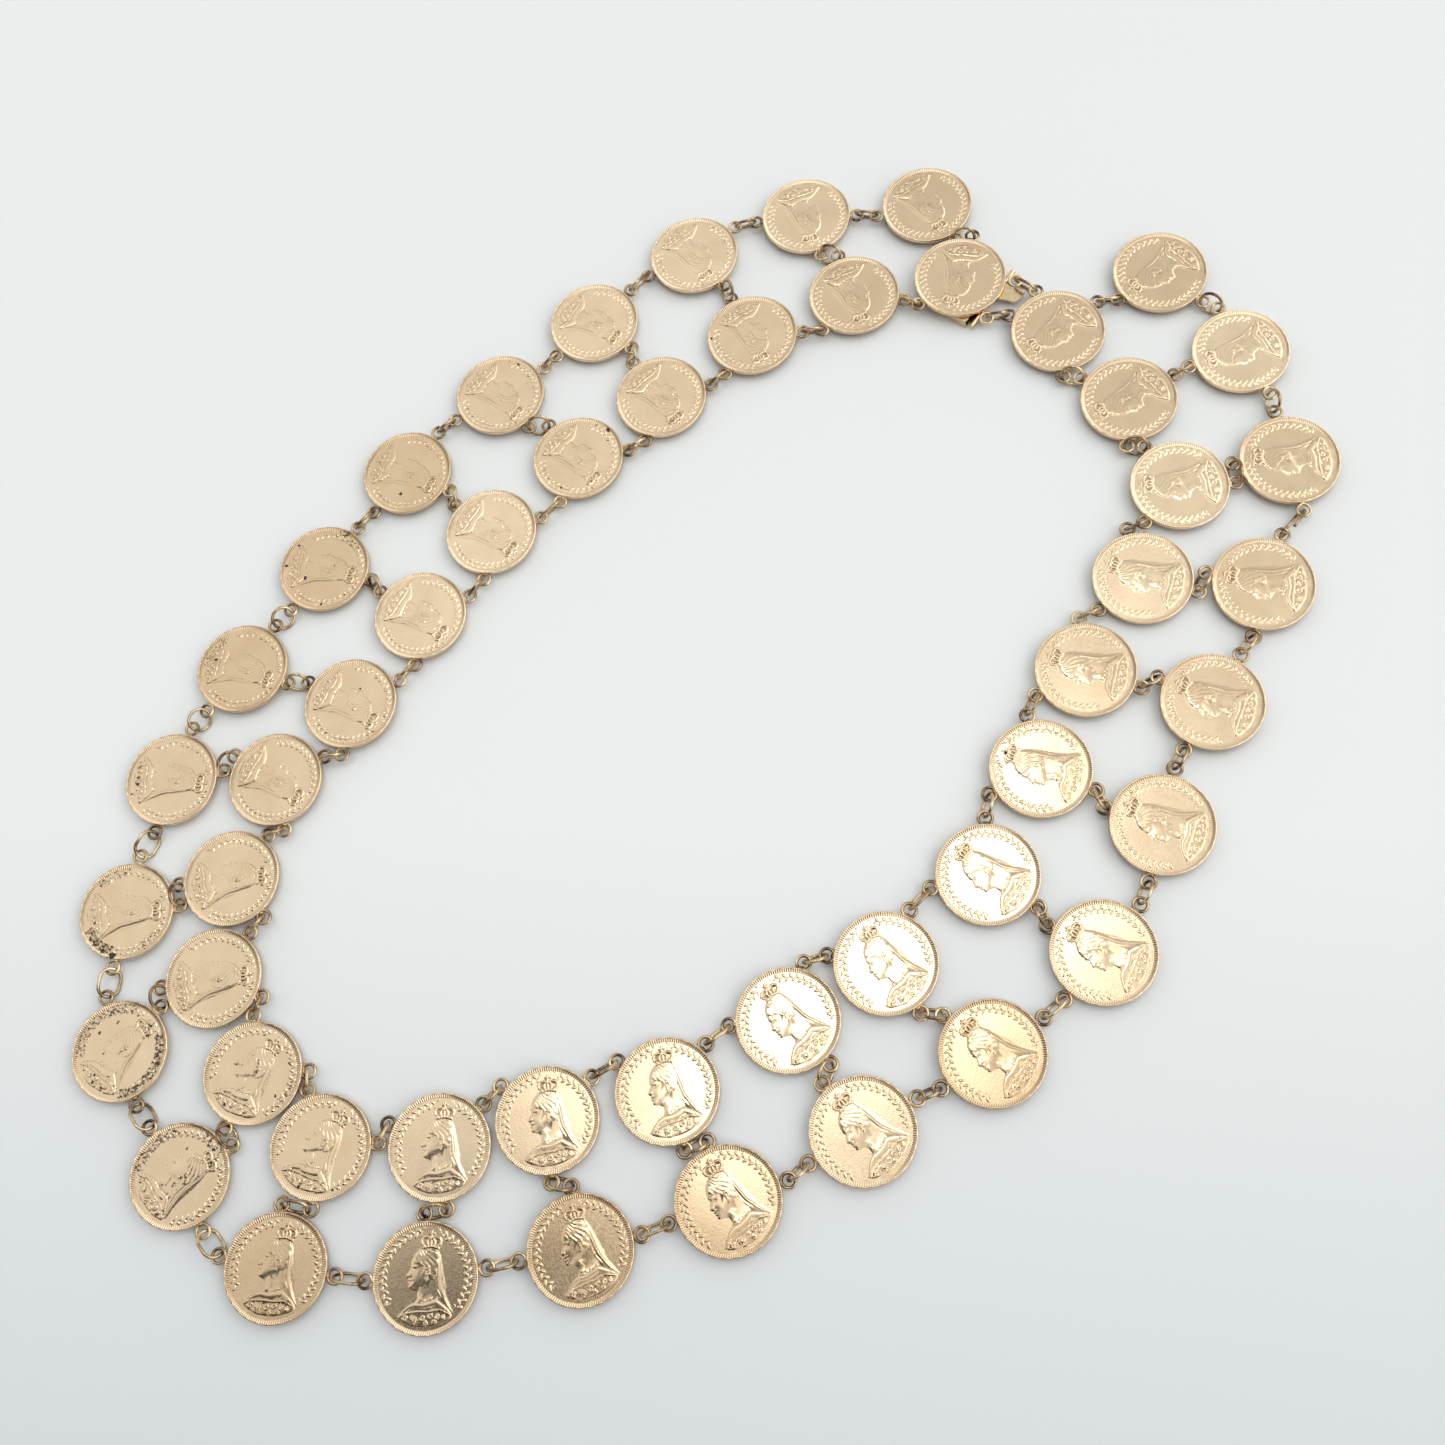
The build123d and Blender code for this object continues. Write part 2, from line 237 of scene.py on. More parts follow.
def rise(distance, width):
    """From 0 at an edge to 1 inside it, rounded as a pressed edge is."""
    share = np.clip(distance / width, 0, 1)
    return 1 - (1 - share) ** 2.2


def step(value, low, high):
    """Smooth change from 0 at low to 1 at high."""
    share = np.clip((value - low) / (high - low), 0, 1)
    return share * share * (3 - 2 * share)


def mound(x, y, place, size, turn=0.0):
    """A soft oval mound of height 1."""
    dx, dy = x - place[0], y - place[1]
    along = dx * cos(radians(turn)) + dy * sin(radians(turn))
    across = dy * cos(radians(turn)) - dx * sin(radians(turn))
    return np.exp(-((along / size[0]) ** 2) - (across / size[1]) ** 2)


def ridge(x, y, points, width):
    """A round ridge of height 1 along a line."""
    return np.sqrt(np.clip(1 - (line_distance(x, y, points) / width) ** 2, 0, 1))


print("Softened, a square has", len(softened([(0, 0), (1, 0), (1, 1), (0, 1)])), "corners")

# %% [markdown]
# The bust faces left, with wavy hair combed back over the ear. A face could be copied line by line, but a
# calm one made from the rules of drawing books needs no model: brow, nose and chin take a third each, and
# the ear lies between the levels of brow and nose. Locks are one cosine round a point above the brow, which
# is quicker than drawing each and keeps them running side by side.

# %% Head and hair
head_outline = softened([
    (-0.6, 4.4), (-1.8, 3.6), (-2.3, 2.5), (-2.42, 1.62), (-2.3, 1.25), (-3.02, 0.35), (-2.9, 0.02),
    (-2.56, -0.06), (-2.74, -0.36), (-2.54, -0.54), (-2.7, -0.78), (-2.46, -1.0), (-2.58, -1.36),
    (-2.2, -1.72), (-1.2, -1.9), (-0.95, -2.6), (-1.1, -3.3), (-2.6, -4.4), (0.0, -5.0), (2.6, -4.2),
    (2.0, 0.0), (2.0, 3.4), (1.4, 4.4),
])
hair_outline = softened([
    (-0.3, 4.5), (-1.5, 4.0), (-2.15, 3.0), (-1.95, 2.25), (-1.2, 1.75), (-0.5, 1.65), (-0.2, 0.95),
    (0.15, -0.1), (0.9, -0.5), (1.9, 0.4), (1.9, 3.2), (1.3, 4.5),
])
eyelid = [(-2.25, 1.1), (-1.95, 1.2), (-1.6, 1.04)]
jaw_line = [(-2.2, -1.66), (-1.2, -1.5), (-0.25, -0.9), (0.15, 0.1)]
neck_muscle = [(-0.6, -1.5), (-0.1, -2.4), (-0.6, -3.2)]
ear = [(0.05, 1.3), (0.42, 1.38), (0.6, 1.05), (0.42, 0.55), (0.2, 0.25), (0.1, 0.5), (0.22, 0.95)]
face_mounds = [
    # what, height, x, y, half_length, half_width, turn
    ("cheek", 0.022, -1.3, -0.3, 0.95, 1.1, 0),
    ("eye socket", -0.045, -1.88, 1.06, 0.4, 0.26, 0),
    ("eyeball", 0.036, -1.92, 1.0, 0.2, 0.13, 0),
    ("brow", 0.02, -1.95, 1.52, 0.45, 0.14, 8),
    ("wing of the nose", 0.024, -2.42, 0.24, 0.19, 0.15, 0),
    ("beside the nose", -0.026, -2.12, 0.06, 0.11, 0.22, 20),
    ("mouth", -0.032, -2.28, -0.57, 0.32, 0.08, 0),
    ("under the lip", -0.018, -2.34, -1.0, 0.24, 0.09, 0),
    ("chin", 0.02, -2.2, -1.32, 0.28, 0.22, 0),
    ("drop at the ear", 0.07, 0.16, -0.12, 0.15, 0.2, 0),
]
face_ridges = [
    # what, height, points, width
    ("eyelid", 0.022, eyelid, 0.1),
    ("neck muscle", 0.018, neck_muscle, 0.3),
    ("ear", 0.055, ear, 0.14),
]
bead_count = 9
parting = (-2.7, 5.7)
lock_count = 46


def face_modelling(x, y):
    """Eye, brow, cheek, mouth, jaw and ear, as mounds, hollows and ridges on the head."""
    face = np.zeros(x.shape)
    for _, height, place_x, place_y, half_length, half_width, turn in face_mounds:
        face += height * mound(x, y, (place_x, place_y), (half_length, half_width), turn)
    for _, height, points, width in face_ridges:
        face += height * ridge(x, y, points, width)
    below_jaw = step(-(y + 1.66) + 0.62 * (x + 2.2), -0.25, 0.45)
    return face - 0.028 * below_jaw * np.exp(-((line_distance(x, y, jaw_line) / 0.9) ** 2))


def hair_strands(x, y):
    """Locks combed back and down from the brow, with a soft wave in them, from -1 to 1."""
    away = np.hypot(x - parting[0], y - parting[1])
    angle = np.arctan2(y - parting[1], x - parting[0])
    locks = np.cos(lock_count * angle + 1.1 * np.sin(2.3 * away) + 0.5 * np.sin(5.1 * away + 3))
    return locks * (0.75 + 0.25 * np.sin(3 * away - 7 * angle))


def bead_rows(x, y):
    """A double row of small beads at the foot of the neck."""
    beads = np.zeros(x.shape)
    for share in np.linspace(0, 1, bead_count):
        for drop in (0.0, 0.34):
            place = (-1.0 + 2.3 * share, -2.72 - drop - 0.4 * sin(pi * share))
            beads = np.maximum(beads, mound(x, y, place, (0.13, 0.13)))
    return beads


def head_height(x, y):
    """Height of head, hair and neck, and how far inside the head's outline a place is."""
    head = inside_distance(x, y, head_outline)
    dome = 0.085 + 0.04 * mound(x, y, (-0.5, 0.9), (2.2, 2.6))
    height = rise(head, 0.34) * (dome + face_modelling(x, y))
    hair = inside_distance(x, y, hair_outline)
    height += rise(hair, 0.2) * (0.03 + 0.013 * hair_strands(x, y))
    return height + 0.035 * bead_rows(x, y) * (head > 0.1), head


print("The face has", len(face_mounds), "mounds and hollows and", len(face_ridges), "ridges")

# %% [markdown]
# The dress has a smooth collar, a sash and lace below it with a star. The veil hangs from the crown in long
# folds that gather at the shoulder's tip, and the crown is small, of arches with a cross. Folds could be
# drawn one by one, but a wave across the veil's width keeps them together as it narrows, and the crown's
# left half is its right half mirrored.

# %% Dress, veil and crown
dress_outline = softened([
    (-4.0, -5.65), (-3.4, -4.95), (-2.4, -4.0), (-1.5, -3.45), (-0.4, -3.5), (0.8, -3.2), (1.7, -2.7),
    (2.6, -3.0), (4.95, -4.95), (3.3, -6.05), (0.4, -6.85), (-1.9, -6.7),
])
collar = [(-3.3, -5.05), (-2.2, -4.2), (-1.2, -3.85), (-0.2, -3.95), (1.0, -3.7), (1.9, -3.3), (3.2, -4.1)]
sash = [(-3.8, -5.7), (-2.5, -5.0), (-0.9, -4.72), (0.9, -4.65), (2.5, -4.3), (4.2, -4.85)]
badge_place = (-1.2, -5.8)
badge_radius = 0.55
badge_rays = 8
scrolls = [
    # x, y, radius, first_angle
    (-2.55, -5.75, 0.42, 30),
    (0.1, -5.5, 0.45, 200),
    (1.2, -5.35, 0.42, 20),
    (2.35, -5.2, 0.4, 210),
    (0.75, -6.25, 0.36, 100),
    (1.9, -6.0, 0.34, 300),
    (3.3, -5.3, 0.32, 80),
]
veil_rows = [
    # y, inner_x, outer_x
    (-5.05, 4.8, 5.2),
    (-4.4, 3.6, 4.85),
    (-3.6, 2.55, 4.45),
    (-2.8, 1.75, 4.05),
    (-1.6, 1.2, 3.6),
    (-0.2, 0.95, 3.25),
    (1.8, 0.8, 2.85),
    (3.4, 0.75, 2.3),
    (4.5, 0.5, 1.5),
]
veil_fold_count = 3.3
crown_middle = 0.45
crown_base = [(-1.1, 4.25), (0.0, 4.5), (1.1, 4.25)]
crown_arches = [
    # points from the base up to the middle, on the right of the middle
    [(1.0, 4.5), (1.4, 4.85), (1.52, 5.3), (1.25, 5.7), (0.65, 5.8), (0.0, 5.6)],
    [(0.52, 4.7), (0.62, 5.15), (0.34, 5.5), (0.0, 5.6)],
    [(0.0, 4.7), (0.0, 5.6)],
]
crown_cross = [[(0.0, 5.7), (0.0, 6.6)], [(-0.4, 6.25), (0.4, 6.25)]]


def scroll(place_x, place_y, radius, first_angle):
    """Points along a curl that winds inwards."""
    points = []
    for number in range(9):
        turn = radians(first_angle + 45 * number)
        reach = radius * (1 - 0.09 * number)
        points.append((place_x + reach * cos(turn), place_y + reach * sin(turn)))
    return points


def dress_height(x, y):
    """Height of the dress, and how far inside its outline a place is."""
    dress = inside_distance(x, y, dress_outline)
    cloth = 0.1 + 0.055 * ridge(x, y, collar, 0.42) + 0.055 * ridge(x, y, sash, 0.15)
    lace = np.maximum.reduce([ridge(x, y, scroll(*row), 0.15) for row in scrolls])
    badge = np.hypot(x - badge_place[0], y - badge_place[1])
    rays = 0.75 + 0.25 * np.cos(badge_rays * np.arctan2(y - badge_place[1], x - badge_place[0]))
    star = rise(badge_radius * rays - badge, 0.15) + 0.5 * mound(x, y, badge_place, (0.16, 0.16))
    return rise(dress, 0.2) * (cloth + 0.055 * np.maximum(lace, star)), dress


def veil_height(x, y):
    """Height of the veil with its folds, and how far inside its outline a place is."""
    levels, inner, outer = (np.array(column) for column in zip(*veil_rows))
    left, right = np.interp(y, levels, inner), np.interp(y, levels, outer)
    edge = list(zip(inner, levels)) + list(zip(outer, levels))[::-1]
    veil = inside_distance(x, y, softened(edge))
    share = (x - left) / np.maximum(right - left, 0.3)
    wander = 0.16 * np.sin(0.9 * y + 2 * share) + 0.07 * np.sin(2.3 * y - 4 * share)
    wave = np.cos(2 * pi * (veil_fold_count * share + wander))
    folds = 0.03 * wave * step(right - left, 0.2, 1.0) * step(veil, 0.1, 0.7)
    return step(veil, -0.1, 1.2) * (0.12 + folds), veil


def crown_height(x, y):
    """Height of the crown, and how far inside its outline a place is."""
    right = np.abs(x - crown_middle)
    crown = 0.17 * ridge(right, y, crown_base, 0.28)
    crown = np.maximum(crown, 0.06 * mound(right, y, (0, 5.1), (1.2, 0.6)))
    crown += 0.015 * np.cos(2 * pi * right / 0.42) * (crown > 0.1)
    for arch in crown_arches:
        crown = np.maximum(crown, 0.17 * ridge(right, y, arch, 0.2))
    for bar in crown_cross:
        crown = np.maximum(crown, 0.16 * ridge(right, y, bar, 0.16))
    return crown, 1.4 - np.hypot(right, 0.8 * (y - 5.4))


print("The lace has", len(scrolls), "scrolls, and the veil is drawn at", len(veil_rows), "levels")

# %% [markdown]
# Round the bust runs a wreath of small leaves, which stops where the bust reaches it. Leaves could be
# copies of a small mesh, but then they would lie on the field instead of growing out of it, so they are
# part of the same function, repeated by angle.

# %% Wreath, and the whole relief
wreath_radius = 6.55
leaf_pitch = radians(9.2)
leaf_size = (0.5, 0.22)
leaf_slant = radians(48)
leaf_offset = 0.27
wreath_start = radians(-37)
wreath_end = radians(217)
wreath_lift = 0.1
highest_relief = 0.19
worn_reach = 0.2
worn_share = 0.8


def wreath_height(x, y, outside):
    """Pairs of slanted leaves along a ring, 1 at their highest."""
    radius = np.hypot(x, y)
    angle = np.arctan2(y, x)
    angle = np.where(angle < -pi / 2, angle + 2 * pi, angle)
    height = np.zeros(x.shape)
    for side in (1, -1):
        along = ((angle / leaf_pitch + 0.25 * side) % 1 - 0.5) * leaf_pitch * radius
        across = (radius - wreath_radius) * side - leaf_offset
        lengthwise = along * cos(leaf_slant) + across * sin(leaf_slant)
        crosswise = across * cos(leaf_slant) - along * sin(leaf_slant)
        leaf = 1 - (lengthwise / leaf_size[0]) ** 2 - (crosswise / leaf_size[1]) ** 2
        height = np.maximum(height, np.sqrt(np.clip(leaf, 0, 1)))
    shown = (angle > wreath_start) & (angle < wreath_end) & (outside < -0.2)
    return np.where(shown, height, 0)


def struck_height(x, y):
    """Height above the field of a crisp coin's whole relief."""
    forms = (head_height, dress_height, veil_height, crown_height)
    heights, insides = zip(*(form(x, y) for form in forms))
    leaves = wreath_lift * wreath_height(x, y, np.maximum.reduce(insides))
    return np.minimum(np.maximum.reduce([*heights, leaves]), highest_relief)


def worn_height(x, y):
    """Height of a rubbed coin's relief: the crisp one, averaged over a small ring and lower."""
    turns = [turn * pi / 3 for turn in range(6)]
    total = struck_height(x, y)
    for turn in turns:
        total = total + struck_height(x + worn_reach * cos(turn), y + worn_reach * sin(turn))
    return worn_share * total / 7


print("A whole wreath would have", round(4 * pi / leaf_pitch), "leaves")

# %% [markdown]
# ### The blank
# A coin is struck from a flat round blank, and its border is a ring of fine teeth that run up to a thin
# raised edge. A square grid would cut that round edge into steps, so the disc is made of rings of points,
# close enough together for the relief.

# %% The disc as rings of points
field_level = rim_height / 2 - 0.2
face_radius = 7.3
fine_spacing = 0.1
even_spacing = 0.15
tooth_count = 140
tooth_phases = np.array((-0.34, -0.18, 0.18, 0.34))
tooth_rings = [
    # radius, tooth_height, gap_height
    (7.36, 0.02, 0.0),
    (7.46, 0.06, 0.0),
    (7.8, 0.17, 0.04),
    (7.89, 0.2, 0.12),
]
rim_points = 112
rim_rings = [
    # radius, level, point_share
    (7.93, rim_height / 2, 1),
    (8.04, rim_height / 2 - 0.01, 1),
    (coin_radius, rim_height / 2 - 0.07, 1),
    (coin_radius, -rim_height / 2 + 0.07, 1),
    (8.03, -rim_height / 2, 1),
    (7.66, -rim_height / 2, 1),
    (7.5, -rim_height / 2 + 0.1, 2),
    (3.5, -rim_height / 2 + 0.1, 4),
]


def join_rings(inner, outer, inner_angles, outer_angles):
    """Triangles between two rings of any counts, each given by its first vertex and its angles."""
    triangles = []
    i = j = 0
    m, n = len(inner_angles), len(outer_angles)
    while i < m or j < n:
        next_inner = inner_angles[i + 1] if i + 1 < m else 2 * pi + inner_angles[(i + 1) % m]
        next_outer = outer_angles[j + 1] if j + 1 < n else 2 * pi + outer_angles[(j + 1) % n]
        if j >= n or (i < m and next_inner <= next_outer):
            triangles.append((inner + i % m, outer + j % n, inner + (i + 1) % m))
            i += 1
        else:
            triangles.append((inner + i % m, outer + j % n, outer + (j + 1) % n))
            j += 1
    return triangles


def disc_mesh(spacing):
    """A coin's points and triangles, from the middle of its face over the rim to the middle of its back."""
    rings = []
    for ring in range(1, int(face_radius / spacing) + 1):
        angles = np.arange(6 * ring) * pi / (3 * ring)
        rings.append((ring * spacing, angles, np.full(len(angles), field_level)))
    teeth = (np.arange(tooth_count)[:, None] + 0.5 + tooth_phases) * 2 * pi / tooth_count
    raised = np.tile(np.abs(tooth_phases) < 0.3, tooth_count)
    for radius, tooth_height, gap_height in tooth_rings:
        rings.append((radius, teeth.ravel(), field_level + np.where(raised, tooth_height, gap_height)))
    for radius, level, share in rim_rings:
        angles = np.arange(rim_points // share) * 2 * pi * share / rim_points
        rings.append((radius, angles, np.full(len(angles), level)))
    points = [(0.0, 0.0, field_level)]
    starts = []
    for radius, angles, levels in rings:
        starts.append((len(points), angles))
        points += list(zip(radius * np.cos(angles), radius * np.sin(angles), levels))
    first, angles = starts[0]
    triangles = [(0, first + i, first + (i + 1) % len(angles)) for i in range(len(angles))]
    for (inner, inner_angles), (outer, outer_angles) in zip(starts[:-1], starts[1:]):
        triangles += join_rings(inner, outer, inner_angles, outer_angles)
    last, angles = starts[-1]
    points.append((0.0, 0.0, rim_rings[-1][1]))
    triangles += [(last + i, len(points) - 1, last + (i + 1) % len(angles)) for i in range(len(angles))]
    return np.array(points), np.array(triangles)


def on_face(points):
    """Which points lie on the struck face, inside the border."""
    return (np.hypot(points[:, 0], points[:, 1]) < face_radius + 0.01) & (points[:, 2] > 0)


print("The border has", tooth_count, "teeth, the face", int(face_radius / fine_spacing), "rings of points")

# %% [markdown]
# ### Thinning
# The field round the bust is flat, and triangles there are wasted. They could be left out by hand, but
# Blender's Decimate modifier finds them by itself: it takes triangles away where nothing is modelled. A
# vertex group keeps it off the border and off the foot of the bust. Tarnished coins keep an even mesh,
# because their dark spots are stored at its points.

# %% Thin the flat places out
thinned_share = 0.38
foot_reach = 0.12


def at_foot(points):
    """Which points lie just outside the bust, where the field's shading must not change."""
    x, y = points[:, :2].T
    nearest = np.maximum.reduce([form(x, y)[1] for form in (head_height, dress_height, veil_height)])
    return (nearest < 0) & (nearest > -foot_reach)


def thinned(points, triangles):
    """The struck disc with fewer triangles where its face is flat."""
    mesh = bpy.data.meshes.new("blank")
    mesh.from_pydata(points.tolist(), [], triangles.tolist())
    blank = add_object("blank", mesh)
    group = blank.vertex_groups.new(name="face")
    group.add(np.flatnonzero(on_face(points) & ~at_foot(points)).tolist(), 1.0, "REPLACE")
    modifier = blank.modifiers.new("thin", "DECIMATE")
    modifier.ratio = thinned_share
    modifier.vertex_group = group.name
    result = bpy.data.meshes.new_from_object(blank.evaluated_get(bpy.context.evaluated_depsgraph_get()))
    new_points = np.array([vertex.co[:] for vertex in result.vertices])
    new_triangles = np.array([polygon.vertices[:] for polygon in result.polygons])
    bpy.data.objects.remove(blank)
    bpy.data.meshes.remove(mesh)
    bpy.data.meshes.remove(result)
    return new_points, new_triangles


def struck(points):
    """The same points with the crisp relief on the face."""
    points = points.copy()
    face = on_face(points)
    points[face, 2] = field_level + struck_height(points[face, 0], points[face, 1])
    return points


fine_points, fine_triangles = disc_mesh(fine_spacing)
thin_disc = thinned(struck(fine_points), fine_triangles)
even_disc = disc_mesh(even_spacing)
print("A disc has", len(thin_disc[1]), "triangles, and one for a tarnished coin", len(even_disc[1]))

# %% [markdown]
# Struck metal shows every slope as a change of brightness. Smooth shading could be left to the mesh, but
# long thin faces smear it. The relief is a function, so its slope is known everywhere, and each point of
# the face gets the true one as its normal. A rubbed coin is a mix of the crisp relief and a blurred, lower
# one.

# %% Heights and slopes, crisp and worn
probe = 0.03
foot_height = 0.012


def heights_and_slopes(points, height_at):
    """Height, slope along x and slope along y at each point of the face, in three rows."""
    x, y = points[on_face(points), :2].T
    along_x = (height_at(x + probe, y) - height_at(x - probe, y)) / (2 * probe)
    along_y = (height_at(x, y + probe) - height_at(x, y - probe)) / (2 * probe)
    height = height_at(x, y)
    raised = height > foot_height
    return np.stack((height, along_x * raised, along_y * raised))


def coin_surface(master, wear):
    """A disc's points, normals (zero where Blender's own will do) and marks for raised places and for the
    hollows' toning and painted shade.
    """
    points, _, crisp, rubbed = masters[master]
    points = points.copy()
    face = on_face(points)
    height, slope_x, slope_y = crisp * (1 - wear) + rubbed * wear
    points[face, 2] = field_level + height
    normals = np.zeros(points.shape)
    normals[face] = np.column_stack((-slope_x, -slope_y, np.ones(len(height))))
    normals[face] /= np.linalg.norm(normals[face], axis=1)[:, None]
    hollow_tone_and_shade = np.zeros(len(points))
    raised = np.where(points[:, 2] > 0, 1.0, 0.0)
    raised[face] = height / highest_relief
    # The hollow mark: brown toning and painted shade at the foot of the relief.
    hollow_tone_and_shade[face] = np.clip((rubbed[0] / worn_share - crisp[0]) / 0.03, 0, 1) * (height > foot_height)
    # Between the border's teeth the hollow mark is painted shade.
    between = (np.hypot(points[:, 0], points[:, 1]) > face_radius) & (points[:, 2] > 0)
    hollow_tone_and_shade[between] = np.where(points[between, 2] < field_level + 0.05, 0.35, 0.0)
    return points, normals, {"hollow_tone_and_shade": hollow_tone_and_shade, "raised": raised}


masters = {}
for name, (points, triangles) in {"thin": thin_disc, "even": even_disc}.items():
    crisp = heights_and_slopes(points, struck_height)
    rubbed = heights_and_slopes(points, worn_height)
    masters[name] = (points, triangles, crisp, rubbed)
    print("The", name, "disc's relief is", round(crisp[0].max(), 2), "mm high at most")

# %% [markdown]
# ## Materials
# All the metal here is silver under thin gold. Its colours could be typed as linear numbers, but a hex
# value is what a painter picks from the photograph, so one function turns that to the light that the
# renderer works in. Materials can be built by hand in the node editor, but a script with one function for
# adding a node can be read from top to bottom.

# %% Colour and node helpers
def linear(hex_colour):
    """sRGB hex to linear RGBA."""
    channels = np.array([int(hex_colour[place:place + 2], 16) / 255 for place in (1, 3, 5)])
    lights = np.where(channels <= 0.04045, channels / 12.92, ((channels + 0.055) / 1.055) ** 2.4)
    return [*lights.tolist(), 1.0]


def add_node(tree, kind, settings=None, stops=(), **links):
    """Add a node, set its properties and a ramp's stops, and link or set its inputs by name."""
    node = tree.nodes.new(kind)
    for name, value in (settings or {}).items():
        setattr(node, name, value)
    for number, (place, colour) in enumerate(stops):
        elements = node.color_ramp.elements
        element = elements[number] if number < len(elements) else elements.new(place)
        element.position = place
        element.color = linear(colour)
    for name, value in links.items():
        key = int(name[1:]) if name[0] == "_" and name[1:].isdigit() else name.replace("_", " ")
        socket = node.inputs[key]
        if isinstance(value, bpy.types.NodeSocket):
            tree.links.new(value, socket)
        else:
            socket.default_value = value
    return node


def new_material(name):
    """An empty material, its tree and its principled shader."""
    material = bpy.data.materials.new(name)
    material.use_nodes = True
    tree = material.node_tree
    return material, tree, tree.nodes["Principled BSDF"]


print("In linear light, mid grey is", round(linear("#808080")[0], 3))

# %% [markdown]
# ### Gilt coin silver
# The coins are struck sterling silver with a thin wash of gold, paler on some coins and browner on others.
# To the eye that is a warm, soft mirror. A browner tone sits in the hollows of the relief. It is partly
# toning where polish doesn't reach, and partly painted shade at the foot of the relief and between the
# border's teeth. On some coins the silver has tarnished through in nearly black, dull spots. One colour
# for all would look like plastic, and a painted picture would need unwrapping, so the mesh stores these
# marks at its points and noise breaks them up. The frost is drawn 0.3 mm wide, coarser than the real one,
# which would be lost at this distance. The tarnish breaks up at 0.4 mm, and the clouds in the gilding are 5
# mm wide.

# %% Gilt coin material
frost_size = 0.3
frost_depth = 0.005
frost_polish = (0.12, 0.2)
toning_size = 5.0
toning_strength = 0.3
hollow_tone_and_shade_strength = 0.65
tarnish_grit = 0.4
tarnish_edge = (0.36, 0.56)
tarnish_roughness = 0.3
coin_golds = [(0.2, "#CDAE88"), (0.5, "#E1C7A5"), (0.8, "#F8DEBC")]
# Brown of the hollows: partly toning, partly painted shade.
hollow_tone_and_shade_brown = "#8F6E4A"
tarnish_brown = "#3A291C"


def make_coin_metal():
    """Gold paler and browner in clouds, brown toning and painted shade in the hollows, with frost and dark
    tarnish.
    """
    material, tree, shader = new_material("gilt coin silver")
    place = add_node(tree, "ShaderNodeTexCoord").outputs["Object"]
    hollow_tone_and_shade, raised, gilding, tarnish = (
        add_node(tree, "ShaderNodeAttribute", {"attribute_name": mark}).outputs["Fac"]
        for mark in ("hollow_tone_and_shade", "raised", "gilding", "tarnish")
    )

    toning = add_node(tree, "ShaderNodeTexNoise", Vector=place, Scale=1 / (toning_size * mm), Detail=3.0)
    cloudy = add_node(
        tree, "ShaderNodeMath", {"operation": "MULTIPLY_ADD"},
        _0=toning.outputs["Fac"], _1=toning_strength, _2=-toning_strength / 2,
    )
    thinness = add_node(tree, "ShaderNodeMath", {"operation": "ADD"}, _0=gilding, _1=cloudy.outputs[0])
    gold = add_node(tree, "ShaderNodeValToRGB", stops=coin_golds, Fac=thinness.outputs[0])
    # Mixes in the hollows' brown: toning and painted shade at the foot of the relief and between the teeth.
    hollow_tone_and_shade_share = add_node(
        tree, "ShaderNodeMath", {"operation": "MULTIPLY"}, _0=hollow_tone_and_shade, _1=hollow_tone_and_shade_strength
    )
    toned = add_node(
        tree, "ShaderNodeMix", {"data_type": "RGBA"},
        _0=hollow_tone_and_shade_share.outputs[0], _6=gold.outputs["Color"], _7=linear(hollow_tone_and_shade_brown),
    )

    grit = add_node(tree, "ShaderNodeTexNoise", Vector=place, Scale=1 / (tarnish_grit * mm), Detail=4.0)
    broken = add_node(
        tree, "ShaderNodeMath", {"operation": "MULTIPLY_ADD"}, _0=grit.outputs["Fac"], _1=1.2, _2=-0.6
    )
    patchy = add_node(tree, "ShaderNodeMath", {"operation": "ADD"}, _0=tarnish, _1=broken.outputs[0])
    dark = add_node(
        tree, "ShaderNodeMapRange",
        Value=patchy.outputs[0], From_Min=tarnish_edge[0], From_Max=tarnish_edge[1],
    )
    colour = add_node(
        tree, "ShaderNodeMix", {"data_type": "RGBA"},
        _0=dark.outputs["Result"], _6=toned.outputs[2], _7=linear(tarnish_brown),
    )
    tree.links.new(colour.outputs[2], shader.inputs["Base Color"])

    metal = add_node(tree, "ShaderNodeMapRange", Value=dark.outputs["Result"], To_Min=1.0, To_Max=0.3)
    tree.links.new(metal.outputs["Result"], shader.inputs["Metallic"])
    frost = add_node(tree, "ShaderNodeTexNoise", Vector=place, Scale=1 / (frost_size * mm), Detail=2.0)
    rough = add_node(
        tree, "ShaderNodeMapRange", Value=frost.outputs["Fac"], From_Min=0.3, From_Max=0.7,
        To_Min=frost_polish[0], To_Max=frost_polish[1],
    )
    rougher = add_node(
        tree, "ShaderNodeMath", {"operation": "MULTIPLY_ADD"},
        _0=dark.outputs["Result"], _1=tarnish_roughness, _2=rough.outputs["Result"],
    )
    tree.links.new(rougher.outputs[0], shader.inputs["Roughness"])
    frosted = add_node(tree, "ShaderNodeMapRange", Value=raised, From_Max=0.5, To_Min=0.8, To_Max=0.25)
    bump = add_node(
        tree, "ShaderNodeBump",
        Height=frost.outputs["Fac"], Strength=frosted.outputs["Result"], Distance=frost_depth * mm,
    )
    tree.links.new(bump.outputs["Normal"], shader.inputs["Normal"])
    return material


coin_metal = make_coin_metal()
print("The coins' metal has", len(coin_metal.node_tree.nodes), "nodes")

# %% [markdown]
# ### Gilt wire and clasp sheet
# Eyelets and links are drawn wire, gilded with the coins and browner, with the darkest tone in patches 2.5
# mm wide. The wire is smooth, so each ring shows the eye a thin bright line. The clasp is smooth rolled
# sheet with marks of 0.6 mm from handling, which dull its shine a little. Both could share the coins'
# metal, but they have no relief and a closer polish, so each is a plain metal with one noise, and one table
# holds their values.

